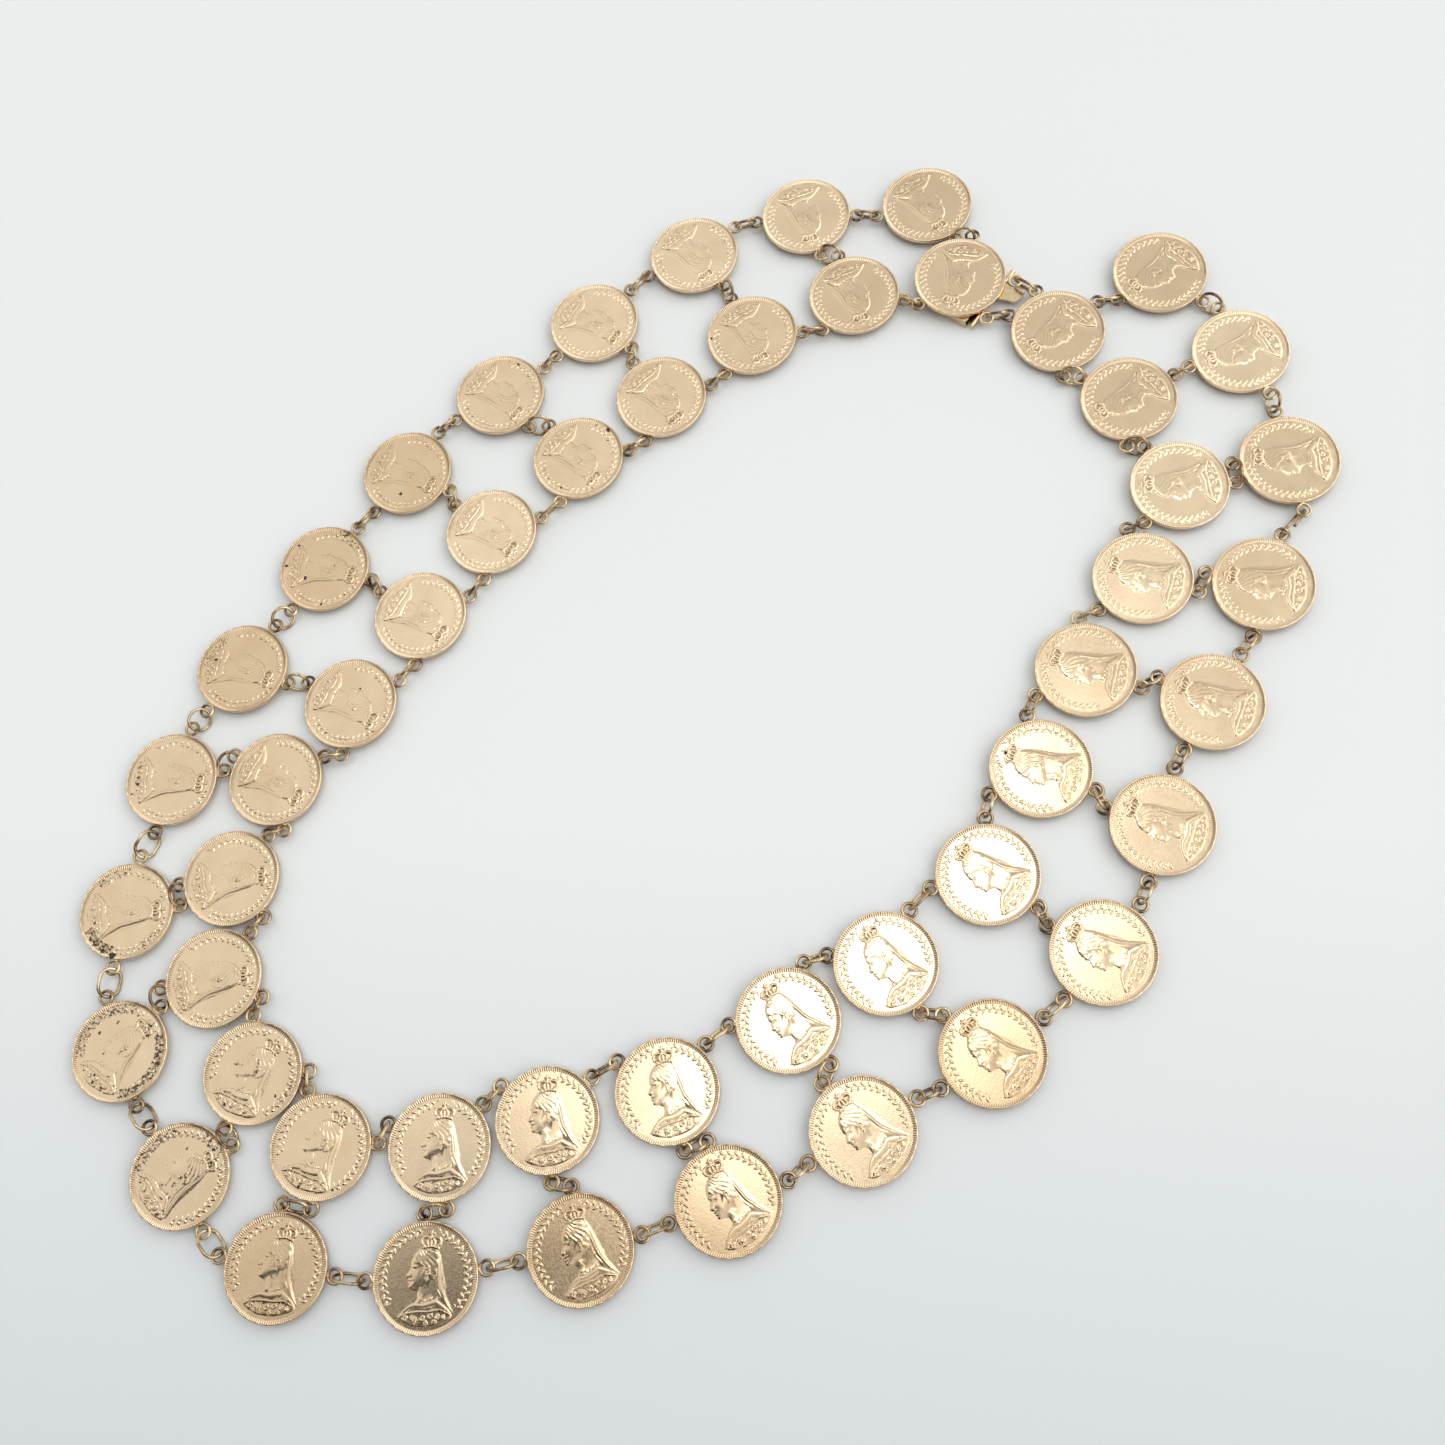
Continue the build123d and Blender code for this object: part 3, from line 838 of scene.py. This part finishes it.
# %% Wire and clasp materials
wire_golds = [(0.34, "#614C39"), (0.5, "#B29873"), (0.64, "#D8C29E")]
sheet_golds = [(0.3, "#D6BB93"), (0.6, "#E8D0AA")]
plain_metals = {
    # name: tone_size, detail, gold_tones, roughness, bump_strength, bump_depth
    "gilt drawn wire": (2.5, 4.0, wire_golds, 0.13, 0.15, 0.03),
    "gilt rolled sheet": (0.6, 5.0, sheet_golds, 0.18, 0.1, 0.02),
}


def make_plain_metal(name):
    """Polished gilding with one noise for its tone and its finest unevenness."""
    tone_size, detail, gold_tones, roughness, bump_strength, bump_depth = plain_metals[name]
    material, tree, shader = new_material(name)
    place = add_node(tree, "ShaderNodeTexCoord").outputs["Object"]
    tone = add_node(tree, "ShaderNodeTexNoise", Vector=place, Scale=1 / (tone_size * mm), Detail=detail)
    gold = add_node(tree, "ShaderNodeValToRGB", stops=gold_tones, Fac=tone.outputs["Fac"])
    tree.links.new(gold.outputs["Color"], shader.inputs["Base Color"])
    shader.inputs["Metallic"].default_value = 1.0
    shader.inputs["Roughness"].default_value = roughness
    bump = add_node(
        tree, "ShaderNodeBump", Height=tone.outputs["Fac"], Strength=bump_strength, Distance=bump_depth * mm
    )
    tree.links.new(bump.outputs["Normal"], shader.inputs["Normal"])
    return material


wire_metal = make_plain_metal("gilt drawn wire")
clasp_metal = make_plain_metal("gilt rolled sheet")
print("Two plain metals:", ", ".join(plain_metals))

# %% [markdown]
# ## Eyelets
# Each eyelet is a ring of round wire that meets the coin's edge, held by a drop of solder. It could be a
# torus copied by hand nearly 150 times, but the same ring repeats at every place, so a small Geometry Nodes
# tree puts one at each point that it is given.

# %% Eyelet tree
def eyelet_tree():
    """A ring of wire and a drop of solder at each of the given points."""
    tree = bpy.data.node_groups.new("soldered eyelets", "GeometryNodeTree")
    inputs = {
        "Places": "NodeSocketGeometry",
        "Ring Radius": "NodeSocketFloat",
        "Wire Radius": "NodeSocketFloat",
        "Coin Radius": "NodeSocketFloat",
        "Metal": "NodeSocketMaterial",
    }
    for name, kind in inputs.items():
        tree.interface.new_socket(name=name, in_out="INPUT", socket_type=kind)
    tree.interface.new_socket(name="Eyelets", in_out="OUTPUT", socket_type="NodeSocketGeometry")
    given = tree.nodes.new("NodeGroupInput").outputs
    ring, wire = (
        add_node(tree, "GeometryNodeCurvePrimitiveCircle", Resolution=points, Radius=given[radius])
        for points, radius in ((22, "Ring Radius"), (8, "Wire Radius"))
    )
    tube = add_node(tree, "GeometryNodeCurveToMesh", Curve=ring.outputs[0], Profile_Curve=wire.outputs[0])
    rings = add_node(
        tree, "GeometryNodeInstanceOnPoints", Points=given["Places"], Instance=tube.outputs[0]
    )

    place = add_node(tree, "GeometryNodeInputPosition").outputs[0]
    outward = add_node(tree, "ShaderNodeVectorMath", {"operation": "NORMALIZE"}, _0=place).outputs[0]
    foot = add_node(
        tree, "ShaderNodeVectorMath", {"operation": "SCALE"}, _0=outward, Scale=given["Coin Radius"]
    )
    at_rim = add_node(tree, "GeometryNodeSetPosition", Geometry=given["Places"], Position=foot.outputs[0])
    drop = add_node(tree, "GeometryNodeMeshUVSphere", Segments=10, Rings=6, Radius=given["Wire Radius"])
    turn = add_node(tree, "FunctionNodeAlignRotationToVector", {"axis": "X"}, Vector=outward)
    drops = add_node(
        tree, "GeometryNodeInstanceOnPoints", Points=at_rim.outputs[0], Instance=drop.outputs[0],
        Rotation=turn.outputs[0], Scale=(1.3, 2.4, 1.15),
    )
    both = add_node(tree, "GeometryNodeJoinGeometry", Geometry=rings.outputs[0])
    tree.links.new(drops.outputs[0], both.inputs[0])
    real = add_node(tree, "GeometryNodeRealizeInstances", Geometry=both.outputs[0])
    finished = add_node(tree, "GeometryNodeSetMaterial", Geometry=real.outputs[0], Material=given["Metal"])
    out = tree.nodes.new("NodeGroupOutput")
    tree.links.new(finished.outputs[0], out.inputs[0])
    return tree


eyelets_group = eyelet_tree()
print("The eyelet tree has", len(eyelets_group.nodes), "nodes")

# %% [markdown]
# ### The eyelets of one coin
# A soldered eyelet and its coin are one piece of metal. The tree could stay on each coin as a modifier, but
# its rings would then be hard to join to the disc, so it runs once for each coin on a few bare points, and
# the mesh that comes out is passed on.

# %% Run the tree for a coin
def eyelet_mesh(places):
    """The eyelets of one coin as vertices and faces, in the coin's own frame."""
    holder_mesh = bpy.data.meshes.new("places")
    holder_mesh.from_pydata(places, [], [])
    holder = add_object("places", holder_mesh)
    modifier = holder.modifiers.new("eyelets", "NODES")
    modifier.node_group = eyelets_group
    values = {
        "Ring Radius": eyelet_radius,
        "Wire Radius": wire_radius,
        "Coin Radius": coin_radius + 0.12,
        "Metal": wire_metal,
    }
    for item in eyelets_group.interface.items_tree:
        if item.in_out == "INPUT" and item.name in values:
            modifier[item.identifier] = values[item.name]
    evaluated = holder.evaluated_get(bpy.context.evaluated_depsgraph_get())
    mesh = bpy.data.meshes.new_from_object(evaluated)
    vertices = [tuple(vertex.co) for vertex in mesh.vertices]
    faces = [tuple(polygon.vertices) for polygon in mesh.polygons]
    bpy.data.objects.remove(holder)
    bpy.data.meshes.remove(mesh)
    bpy.data.meshes.remove(holder_mesh)
    return vertices, faces


print("One eyelet and its solder have", len(eyelet_mesh([(0, coin_radius, 0)])[1]), "faces")

# %% [markdown]
# ## Coins on the collar
# The real coins come from one die and differ by wear, gilding and stains. They could be one linked mesh,
# but then all would be alike, so each is its own copy of the struck disc, rubbed more or less, turned a
# little, and set in its seat with its own eyelets. Four numbers at every point go to the material: how
# hollow it is there (for the brown toning and painted shade), how raised, how thinly gilded and how
# tarnished.

# %% Wear, tilt and tarnish
wear_stretches = [
    # row, last_coin, wear
    ("outer", 5, 0.1),
    ("outer", 7, 0.25),
    ("outer", 8, 0.1),
    ("outer", 11, 0.35),
    ("outer", 12, 0.2),
    ("outer", 22, 0.0),
    ("outer", 25, 0.15),
    ("inner", 4, 0.15),
    ("inner", 9, 0.05),
    ("inner", 12, 0.1),
    ("inner", 22, 0.0),
    ("inner", 25, 0.15),
]
head_tilts = {
    # degrees, to the left
    "outer": {1: -5, 2: -5, 3: -9, 4: 4, 5: 4, 7: 5, 9: -13, 13: -10, 14: -7, 15: 6, 16: 11, 18: -5, 19: -4,
              20: -9, 23: -5, 24: 3},
    "inner": {3: -4, 7: -4, 8: -7, 9: -4, 10: 3, 12: -7, 13: -23, 14: -11, 16: -4, 17: -6, 19: -4, 22: -7},
}
gildings = {
    # 0.5 for most coins, more where the gold is thin and pale, less where it has gone brown
    "outer": {2: 0.63, 3: 0.62, 4: 0.6, 6: 0.38, 7: 0.38, 8: 0.38, 13: 0.36, 15: 0.34, 16: 0.35, 18: 0.32,
              24: 0.72},
    "inner": {6: 0.65, 7: 0.61, 14: 0.62, 22: 0.6, 23: 0.72},
}
spots = {
    # x, y, size, darkness of each spot, in millimetres from the coin's middle
    ("outer", 3): [(-6.3, -2.2, 0.3, 0.6)],
    ("outer", 5): [(-6.3, -2.9, 0.3, 0.9)],
    ("outer", 6): [(4.2, 1.1, 0.35, 1.0), (0.4, -5.8, 0.3, 0.5)],
    ("outer", 7): [
        (-7.3, 1.6, 1.1, 0.55), (-6.0, 2.7, 0.7, 0.45), (6.6, 2.1, 0.3, 0.9), (2.6, -2.7, 0.4, 0.8),
        (1.2, -7.0, 0.3, 1.0), (-3.1, -6.2, 0.35, 0.7), (-0.9, 1.7, 0.22, 0.7), (3.9, 5.5, 0.3, 0.7),
    ],
    ("outer", 8): [(0.0, -5.3, 0.3, 0.9), (-5.2, 3.4, 0.25, 0.5), (-3.6, -6.0, 0.4, 0.45)],
    ("outer", 9): [
        (-4.1, -5.4, 0.45, 0.55), (-3.2, -5.7, 0.6, 0.62), (-2.3, -5.8, 0.5, 0.5), (-1.4, -5.8, 0.6, 0.62),
        (-0.3, -6.0, 0.6, 0.6), (1.4, -7.1, 0.3, 0.8),
    ],
    ("outer", 10): [
        (7.2, -2.1, 0.9, 0.75), (6.2, -3.7, 0.8, 0.65), (4.6, -5.3, 0.7, 0.6), (1.4, -5.4, 0.35, 0.7),
        (3.1, -4.7, 0.25, 0.8),
    ],
    ("outer", 11): [
        (-3.8, 2.9, 0.5, 0.55), (-4.9, -0.3, 0.5, 0.6), (1.2, 6.2, 0.6, 0.6), (1.9, 4.8, 0.5, 0.6),
        (1.0, -1.5, 0.5, 0.45), (-1.9, -2.0, 0.3, 0.6), (-0.4, -5.2, 0.3, 0.8), (0.2, -6.2, 0.3, 0.9),
        (2.0, -5.9, 0.35, 0.8),
    ],
    ("outer", 12): [
        (-0.9, 6.4, 0.6, 0.55), (-1.1, 4.9, 0.5, 0.6), (0.9, 5.2, 0.4, 0.6), (1.0, -1.2, 0.9, 0.42),
        (-3.3, 2.6, 0.35, 0.6), (3.4, -5.4, 0.4, 0.7), (-4.0, -5.5, 0.5, 0.6), (4.9, 6.8, 0.4, 0.7),
    ],
    ("inner", 3): [(6.7, -3.0, 0.3, 0.8)],
    ("inner", 5): [(-7.4, -0.8, 0.45, 1.0), (-6.4, -3.0, 0.4, 0.6), (5.9, 2.8, 0.3, 0.8)],
    ("inner", 8): [(-3.0, 0.1, 0.3, 0.7)],
    ("inner", 10): [(2.8, -6.8, 1.0, 0.34)],
    ("inner", 11): [(4.1, -5.6, 1.3, 0.4)],
    ("inner", 12): [
        (-3.1, 0.3, 0.45, 0.6), (-1.2, 2.4, 0.35, 0.6), (0.2, 2.0, 0.6, 0.5), (0.5, 0.4, 0.5, 0.5),
        (4.9, 3.8, 0.5, 0.5), (5.2, -1.6, 0.3, 0.7), (-1.7, -6.0, 0.3, 0.8),
    ],
    ("inner", 13): [(-2.5, -6.0, 0.35, 0.8), (3.0, -6.1, 0.3, 0.8)],
    ("inner", 20): [(0.3, 6.0, 0.4, 0.8)],
}
dark_borders = {
    # from_angle, to_angle, darkness
    ("outer", 7): [(120, 190, 0.34)],
    ("outer", 8): [(225, 290, 0.33)],
    ("outer", 10): [(170, 235, 0.38), (285, 350, 0.47), (20, 60, 0.34)],
    ("outer", 11): [(100, 240, 0.4), (-55, 75, 0.46)],
    ("outer", 12): [(150, 245, 0.4), (85, 125, 0.4)],
    ("inner", 12): [(-30, 20, 0.34)],
}
border_band = (5.9, 7.6)
tarnished = set(spots) | set(dark_borders)


def wear_of(row, number):
    """How rubbed a coin is, 0 to 1."""
    return next(wear for name, last, wear in wear_stretches if name == row and number + 1 <= last)


def tarnish_of(row, number, points):
    """How dark a coin has gone at each of its points, 0 to 1."""
    x, y = points[:, 0], points[:, 1]
    radius = np.hypot(x, y)
    angle = np.degrees(np.arctan2(y, x))
    tarnish = np.zeros(len(points))
    for spot_x, spot_y, size, darkness in spots.get((row, number + 1), []):
        tarnish = np.maximum(tarnish, darkness * mound(x, y, (spot_x, spot_y), (size, size)))
    band = step(radius, border_band[0] - 0.2, border_band[0] + 0.2)
    band = band * step(-radius, -border_band[1] - 0.2, -border_band[1])
    for start, end, darkness in dark_borders.get((row, number + 1), []):
        share = ((angle - start) % 360) / (end - start)
        within = (share < 1) * step(0.5 - np.abs(share - 0.5), 0, 0.12)
        tarnish = np.maximum(tarnish, darkness * band * within)
    return np.where(points[:, 2] > 0, tarnish, 0)


print(sum(len(places) for places in spots.values()), "dark spots, on", len(tarnished), "tarnished coins")

# %% [markdown]
# ### Putting a coin together
# A finished coin is one mesh: the struck disc with the coins' metal and the eyelets with the wire's. Two
# objects would do as well, but a soldered eyelet belongs to its coin. The mesh is turned and moved to the
# coin's seat point by point, so that the object itself stays at the origin, where the solid model's are.

# %% Make the coins
def make_coin(row, number):
    """One finished coin: disc, eyelets, and the marks that the material reads."""
    node = f"{row}_coin_{number + 1:02d}"
    seat = coin_matrix(row, number)
    portrait = seat @ Matrix.Rotation(radians(head_tilts[row].get(number + 1, 0)), 4, "Z")
    master = "even" if (row, number + 1) in tarnished else "thin"
    points, normals, marks = coin_surface(master, wear_of(row, number))
    disc_triangles = masters[master][1]
    upright = np.array(seat.inverted() @ portrait)[:3, :3]
    marks["tarnish"] = tarnish_of(row, number, points @ upright.T)
    marks["gilding"] = np.full(len(points), gildings[row].get(number + 1, 0.5))
    back = portrait.inverted()
    places = [tuple(back @ Vector(eyelet)) for eyelet in rows[row][number][2]]
    wire_points, wire_faces = eyelet_mesh(places)
    first = len(points)
    local = np.vstack((points, np.array(wire_points)))
    faces = disc_triangles.tolist() + [tuple(first + corner for corner in face) for face in wire_faces]
    turn = np.array(portrait.to_3x3())
    mesh = bpy.data.meshes.new(f"{node}_struck")
    mesh.from_pydata(((local @ turn.T + np.array(portrait.translation)) * mm).tolist(), [], faces)
    mesh.materials.append(coin_metal)
    mesh.materials.append(wire_metal)
    mesh.polygons.foreach_set("material_index", [0] * len(disc_triangles) + [1] * len(wire_faces))
    mesh.shade_smooth()
    mesh.set_sharp_from_angle(angle=radians(40))
    extra = np.zeros(len(local) - first)
    for name, values in marks.items():
        attribute = mesh.attributes.new(name, "FLOAT", "POINT")
        attribute.data.foreach_set("value", np.append(values, extra).astype(np.float32))
    mesh.update()
    all_normals = np.vstack((normals @ turn.T, np.zeros((len(extra), 3))))
    mesh.normals_split_custom_set_from_vertices(all_normals.tolist())
    piece = add_object(f"{node}_struck", mesh)
    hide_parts(node)
    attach(piece, "root")
    return piece


coins = [make_coin(row, number) for row in ("outer", "inner") for number in range(row_length)]
triangle_total = sum(len(face.vertices) - 2 for coin in coins for face in coin.data.polygons)
print("Made", len(coins), "coins with", triangle_total, "triangles in all")

# %% [markdown]
# ## Links and clasp
# The links are bent wire and the clasp is folded sheet. They could be built again here, but the solid model
# already has their true shapes, so they only get their finishes. The flat box under the first inner coin is
# part of that coin's node, which the struck coin hides, so the part of the node below the coin is copied,
# and its top, where the coin was joined on, is closed again.

# %% Links, tongue and box
kept_pieces = {
    "outer_row_links": wire_metal,
    "inner_row_links": wire_metal,
    "cross_links": wire_metal,
    "clasp_links": wire_metal,
    "clasp_tongue": clasp_metal,
}


def make_clasp_box():
    """The clasp's box: what the first inner coin's node has below the coin, with its top closed again."""
    points, triangles = corners_of("inner_coin_01")
    top = rows["inner"][0][0][2] - rim_height / 2
    levels = points[triangles][:, :, 2]
    kept = triangles[(levels < top + 0.001).all(1) & (levels < top - 0.01).any(1)]
    used, corners = np.unique(kept, return_inverse=True)
    mesh = bpy.data.meshes.new("clasp_box")
    mesh.from_pydata((points[used] * mm).tolist(), [], corners.reshape(-1, 3).tolist())
    mesh.materials.append(clasp_metal)
    merged = bmesh.new()
    merged.from_mesh(mesh)
    bmesh.ops.remove_doubles(merged, verts=merged.verts, dist=0.001 * mm)
    open_edges = [edge for edge in merged.edges if edge.is_boundary]
    closed = bmesh.ops.holes_fill(merged, edges=open_edges, sides=0)["faces"]
    print("The box had", len(open_edges), "open edges at its top, closed with", len(closed), "face")
    bmesh.ops.triangulate(merged, faces=closed)
    merged.to_mesh(mesh)
    merged.free()
    piece = add_object("clasp_box", mesh)
    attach(piece, "root")
    return piece


for node, metal in kept_pieces.items():
    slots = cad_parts[node].data.materials
    slots.clear()
    slots.append(metal)
make_clasp_box()
print("Finished", len(kept_pieces), "pieces of the solid model, and the clasp's box")

# %% [markdown]
# ## Table and light
# The table is a smooth sheet of satin white. Its sheen gives the eye soft, short shadows and no mirror
# image. Towards the front of the picture the light falls off, and that falloff is painted: the sheet's
# colour gets darker and bluer along that direction. A lamp's falloff could do it, but it would also change
# what the coins show.

# %% Table
table_size = 4.0
# The whites darken and turn bluer towards the front: painted falloff of light.
table_painted_falloff_whites = [(0.0, "#E5E6E5"), (1.0, "#CBCFD2")]
table_roughness = 0.45
table_drop = 0.02
painted_falloff_turn = radians(-59)
painted_falloff_start = 20
painted_falloff_end = 140


def make_table():
    """A large flat sheet, with the light's falloff towards the front of the picture painted darker into its
    colour.
    """
    material, tree, shader = new_material("satin white sheet with painted falloff")
    place = add_node(tree, "ShaderNodeTexCoord").outputs["Object"]
    forward = (cos(painted_falloff_turn), sin(painted_falloff_turn), 0.0)
    distance = add_node(tree, "ShaderNodeVectorMath", {"operation": "DOT_PRODUCT"}, _0=place, _1=forward)
    painted_falloff = add_node(
        tree, "ShaderNodeMapRange",
        Value=distance.outputs["Value"], From_Min=painted_falloff_start * mm, From_Max=painted_falloff_end * mm,
    )
    # Painted falloff: the sheet's colour darkens along the direction to the picture's front.
    white = add_node(tree, "ShaderNodeValToRGB", stops=table_painted_falloff_whites, Fac=painted_falloff.outputs["Result"])
    tree.links.new(white.outputs["Color"], shader.inputs["Base Color"])
    shader.inputs["Roughness"].default_value = table_roughness
    mesh = bpy.data.meshes.new("table")
    corners = [(-1, -1, 0), (1, -1, 0), (1, 1, 0), (-1, 1, 0)]
    mesh.from_pydata([Vector(corner) * table_size / 2 for corner in corners], [], [(0, 1, 2, 3)])
    mesh.materials.append(material)
    table = add_object("table", mesh)
    table.location.z = -table_drop * mm
    table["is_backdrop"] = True


make_table()
print("The table is", table_size, "m wide and fades over", painted_falloff_end - painted_falloff_start, "mm")

# %% [markdown]
# The coins are small mirrors, so what they show is the room. Lamps would show in them as hard spots, so the
# room is drawn as brightness by direction instead: sides that blend into each other, and two soft ovals
# overhead. The photograph tells what is there. Coins at the front right show a bright window, and those at
# the front left a darker part of the ceiling. One side of the room is bright. The side in front of the
# table is dark brown above the horizon, which draws the dark lines along the relief.

# %% Room
ceiling_light = 1.05
daylight = "#F7FAFA"
brown_shade = "#D8A070"
room_sides = [
    # what, towards, where it begins, where it is full, light, tint
    ("far side", (0.0, 1.0, 0.0), 0.35, 0.55, 0.84, daylight),
    ("bright side", (0.83, 0.55, 0.0), 0.25, 0.55, 2.4, daylight),
    ("dark side", (0.25, -0.97, 0.0), 0.36, 0.6, 0.05, brown_shade),
    ("horizon", (0.0, 0.0, -1.0), -0.5, -0.28, 0.9, daylight),
]
room_patches = [
    # what, middle, half_size, turn, soft, light
    ("dark part of the ceiling", (-0.2, -0.385), (0.31, 0.125), 80, 0.25, 0.12),
    ("window", (-0.133, 0.15), (0.185, 0.092), 72, 0.35, 4.6),
]


def add_patch(tree, direction, middle, half_size, turn, soft):
    """1 in an oval patch of the room overhead, 0 outside it, with a soft edge."""
    placed = add_node(
        tree, "ShaderNodeMapping", {"vector_type": "TEXTURE"}, Vector=direction, Location=(*middle, 0.0),
        Rotation=(0.0, 0.0, radians(turn)), Scale=(*half_size, 1.0),
    )
    flat = add_node(
        tree, "ShaderNodeVectorMath", {"operation": "MULTIPLY"}, _0=placed.outputs[0], _1=(1, 1, 0)
    )
    size = add_node(tree, "ShaderNodeVectorMath", {"operation": "LENGTH"}, _0=flat.outputs[0])
    edge = add_node(
        tree, "ShaderNodeMapRange", {"interpolation_type": "SMOOTHSTEP"}, Value=size.outputs["Value"],
        From_Min=1 + soft, From_Max=1 - soft,
    )
    return edge.outputs["Result"]


def add_side(tree, direction, towards, low, high):
    """0 to 1 as the direction turns towards a side of the room."""
    dot = add_node(tree, "ShaderNodeVectorMath", {"operation": "DOT_PRODUCT"}, _0=direction, _1=towards)
    edge = add_node(
        tree, "ShaderNodeMapRange", {"interpolation_type": "SMOOTHSTEP"}, Value=dot.outputs["Value"],
        From_Min=low, From_Max=high,
    )
    return edge.outputs["Result"]


def make_room():
    """Light and tint of the room by direction, each side and patch laid over the ones before it."""
    world = bpy.data.worlds.new("room")
    bpy.context.scene.world = world
    world.use_nodes = True
    tree = world.node_tree
    direction = add_node(tree, "ShaderNodeTexCoord").outputs["Generated"]
    changes = []
    for _, towards, begins, full, light, tint in room_sides:
        changes.append((add_side(tree, direction, towards, begins, full), light, tint))
    for _, middle, half_size, turn, soft, light in room_patches:
        changes.append((add_patch(tree, direction, middle, half_size, turn, soft), light, daylight))
    light = ceiling_light
    tint = linear(daylight)
    for share, new_light, new_tint in changes:
        lights = add_node(
            tree, "ShaderNodeMix", {"data_type": "FLOAT"}, _0=share, _2=light, _3=new_light
        )
        tints = add_node(
            tree, "ShaderNodeMix", {"data_type": "RGBA"}, _0=share, _6=tint, _7=linear(new_tint)
        )
        light = lights.outputs[0]
        tint = tints.outputs[2]
    background = tree.nodes["Background"]
    tree.links.new(tint, background.inputs["Color"])
    tree.links.new(light, background.inputs["Strength"])


make_room()
bpy.context.scene.view_settings.view_transform = "Standard"
print("The room has", len(room_sides), "sides and", len(room_patches), "patches")

# %% [markdown]
# ## Last measurements
# The finished collar must be as large as the solid one, so its box is measured and its size printed.

# %% Size of the finished collar
visual_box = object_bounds()
finished_size = [round((high - low) / mm, 1) for low, high in zip(*visual_box)]
print("Coins, links and clasp together:", finished_size, "mm")
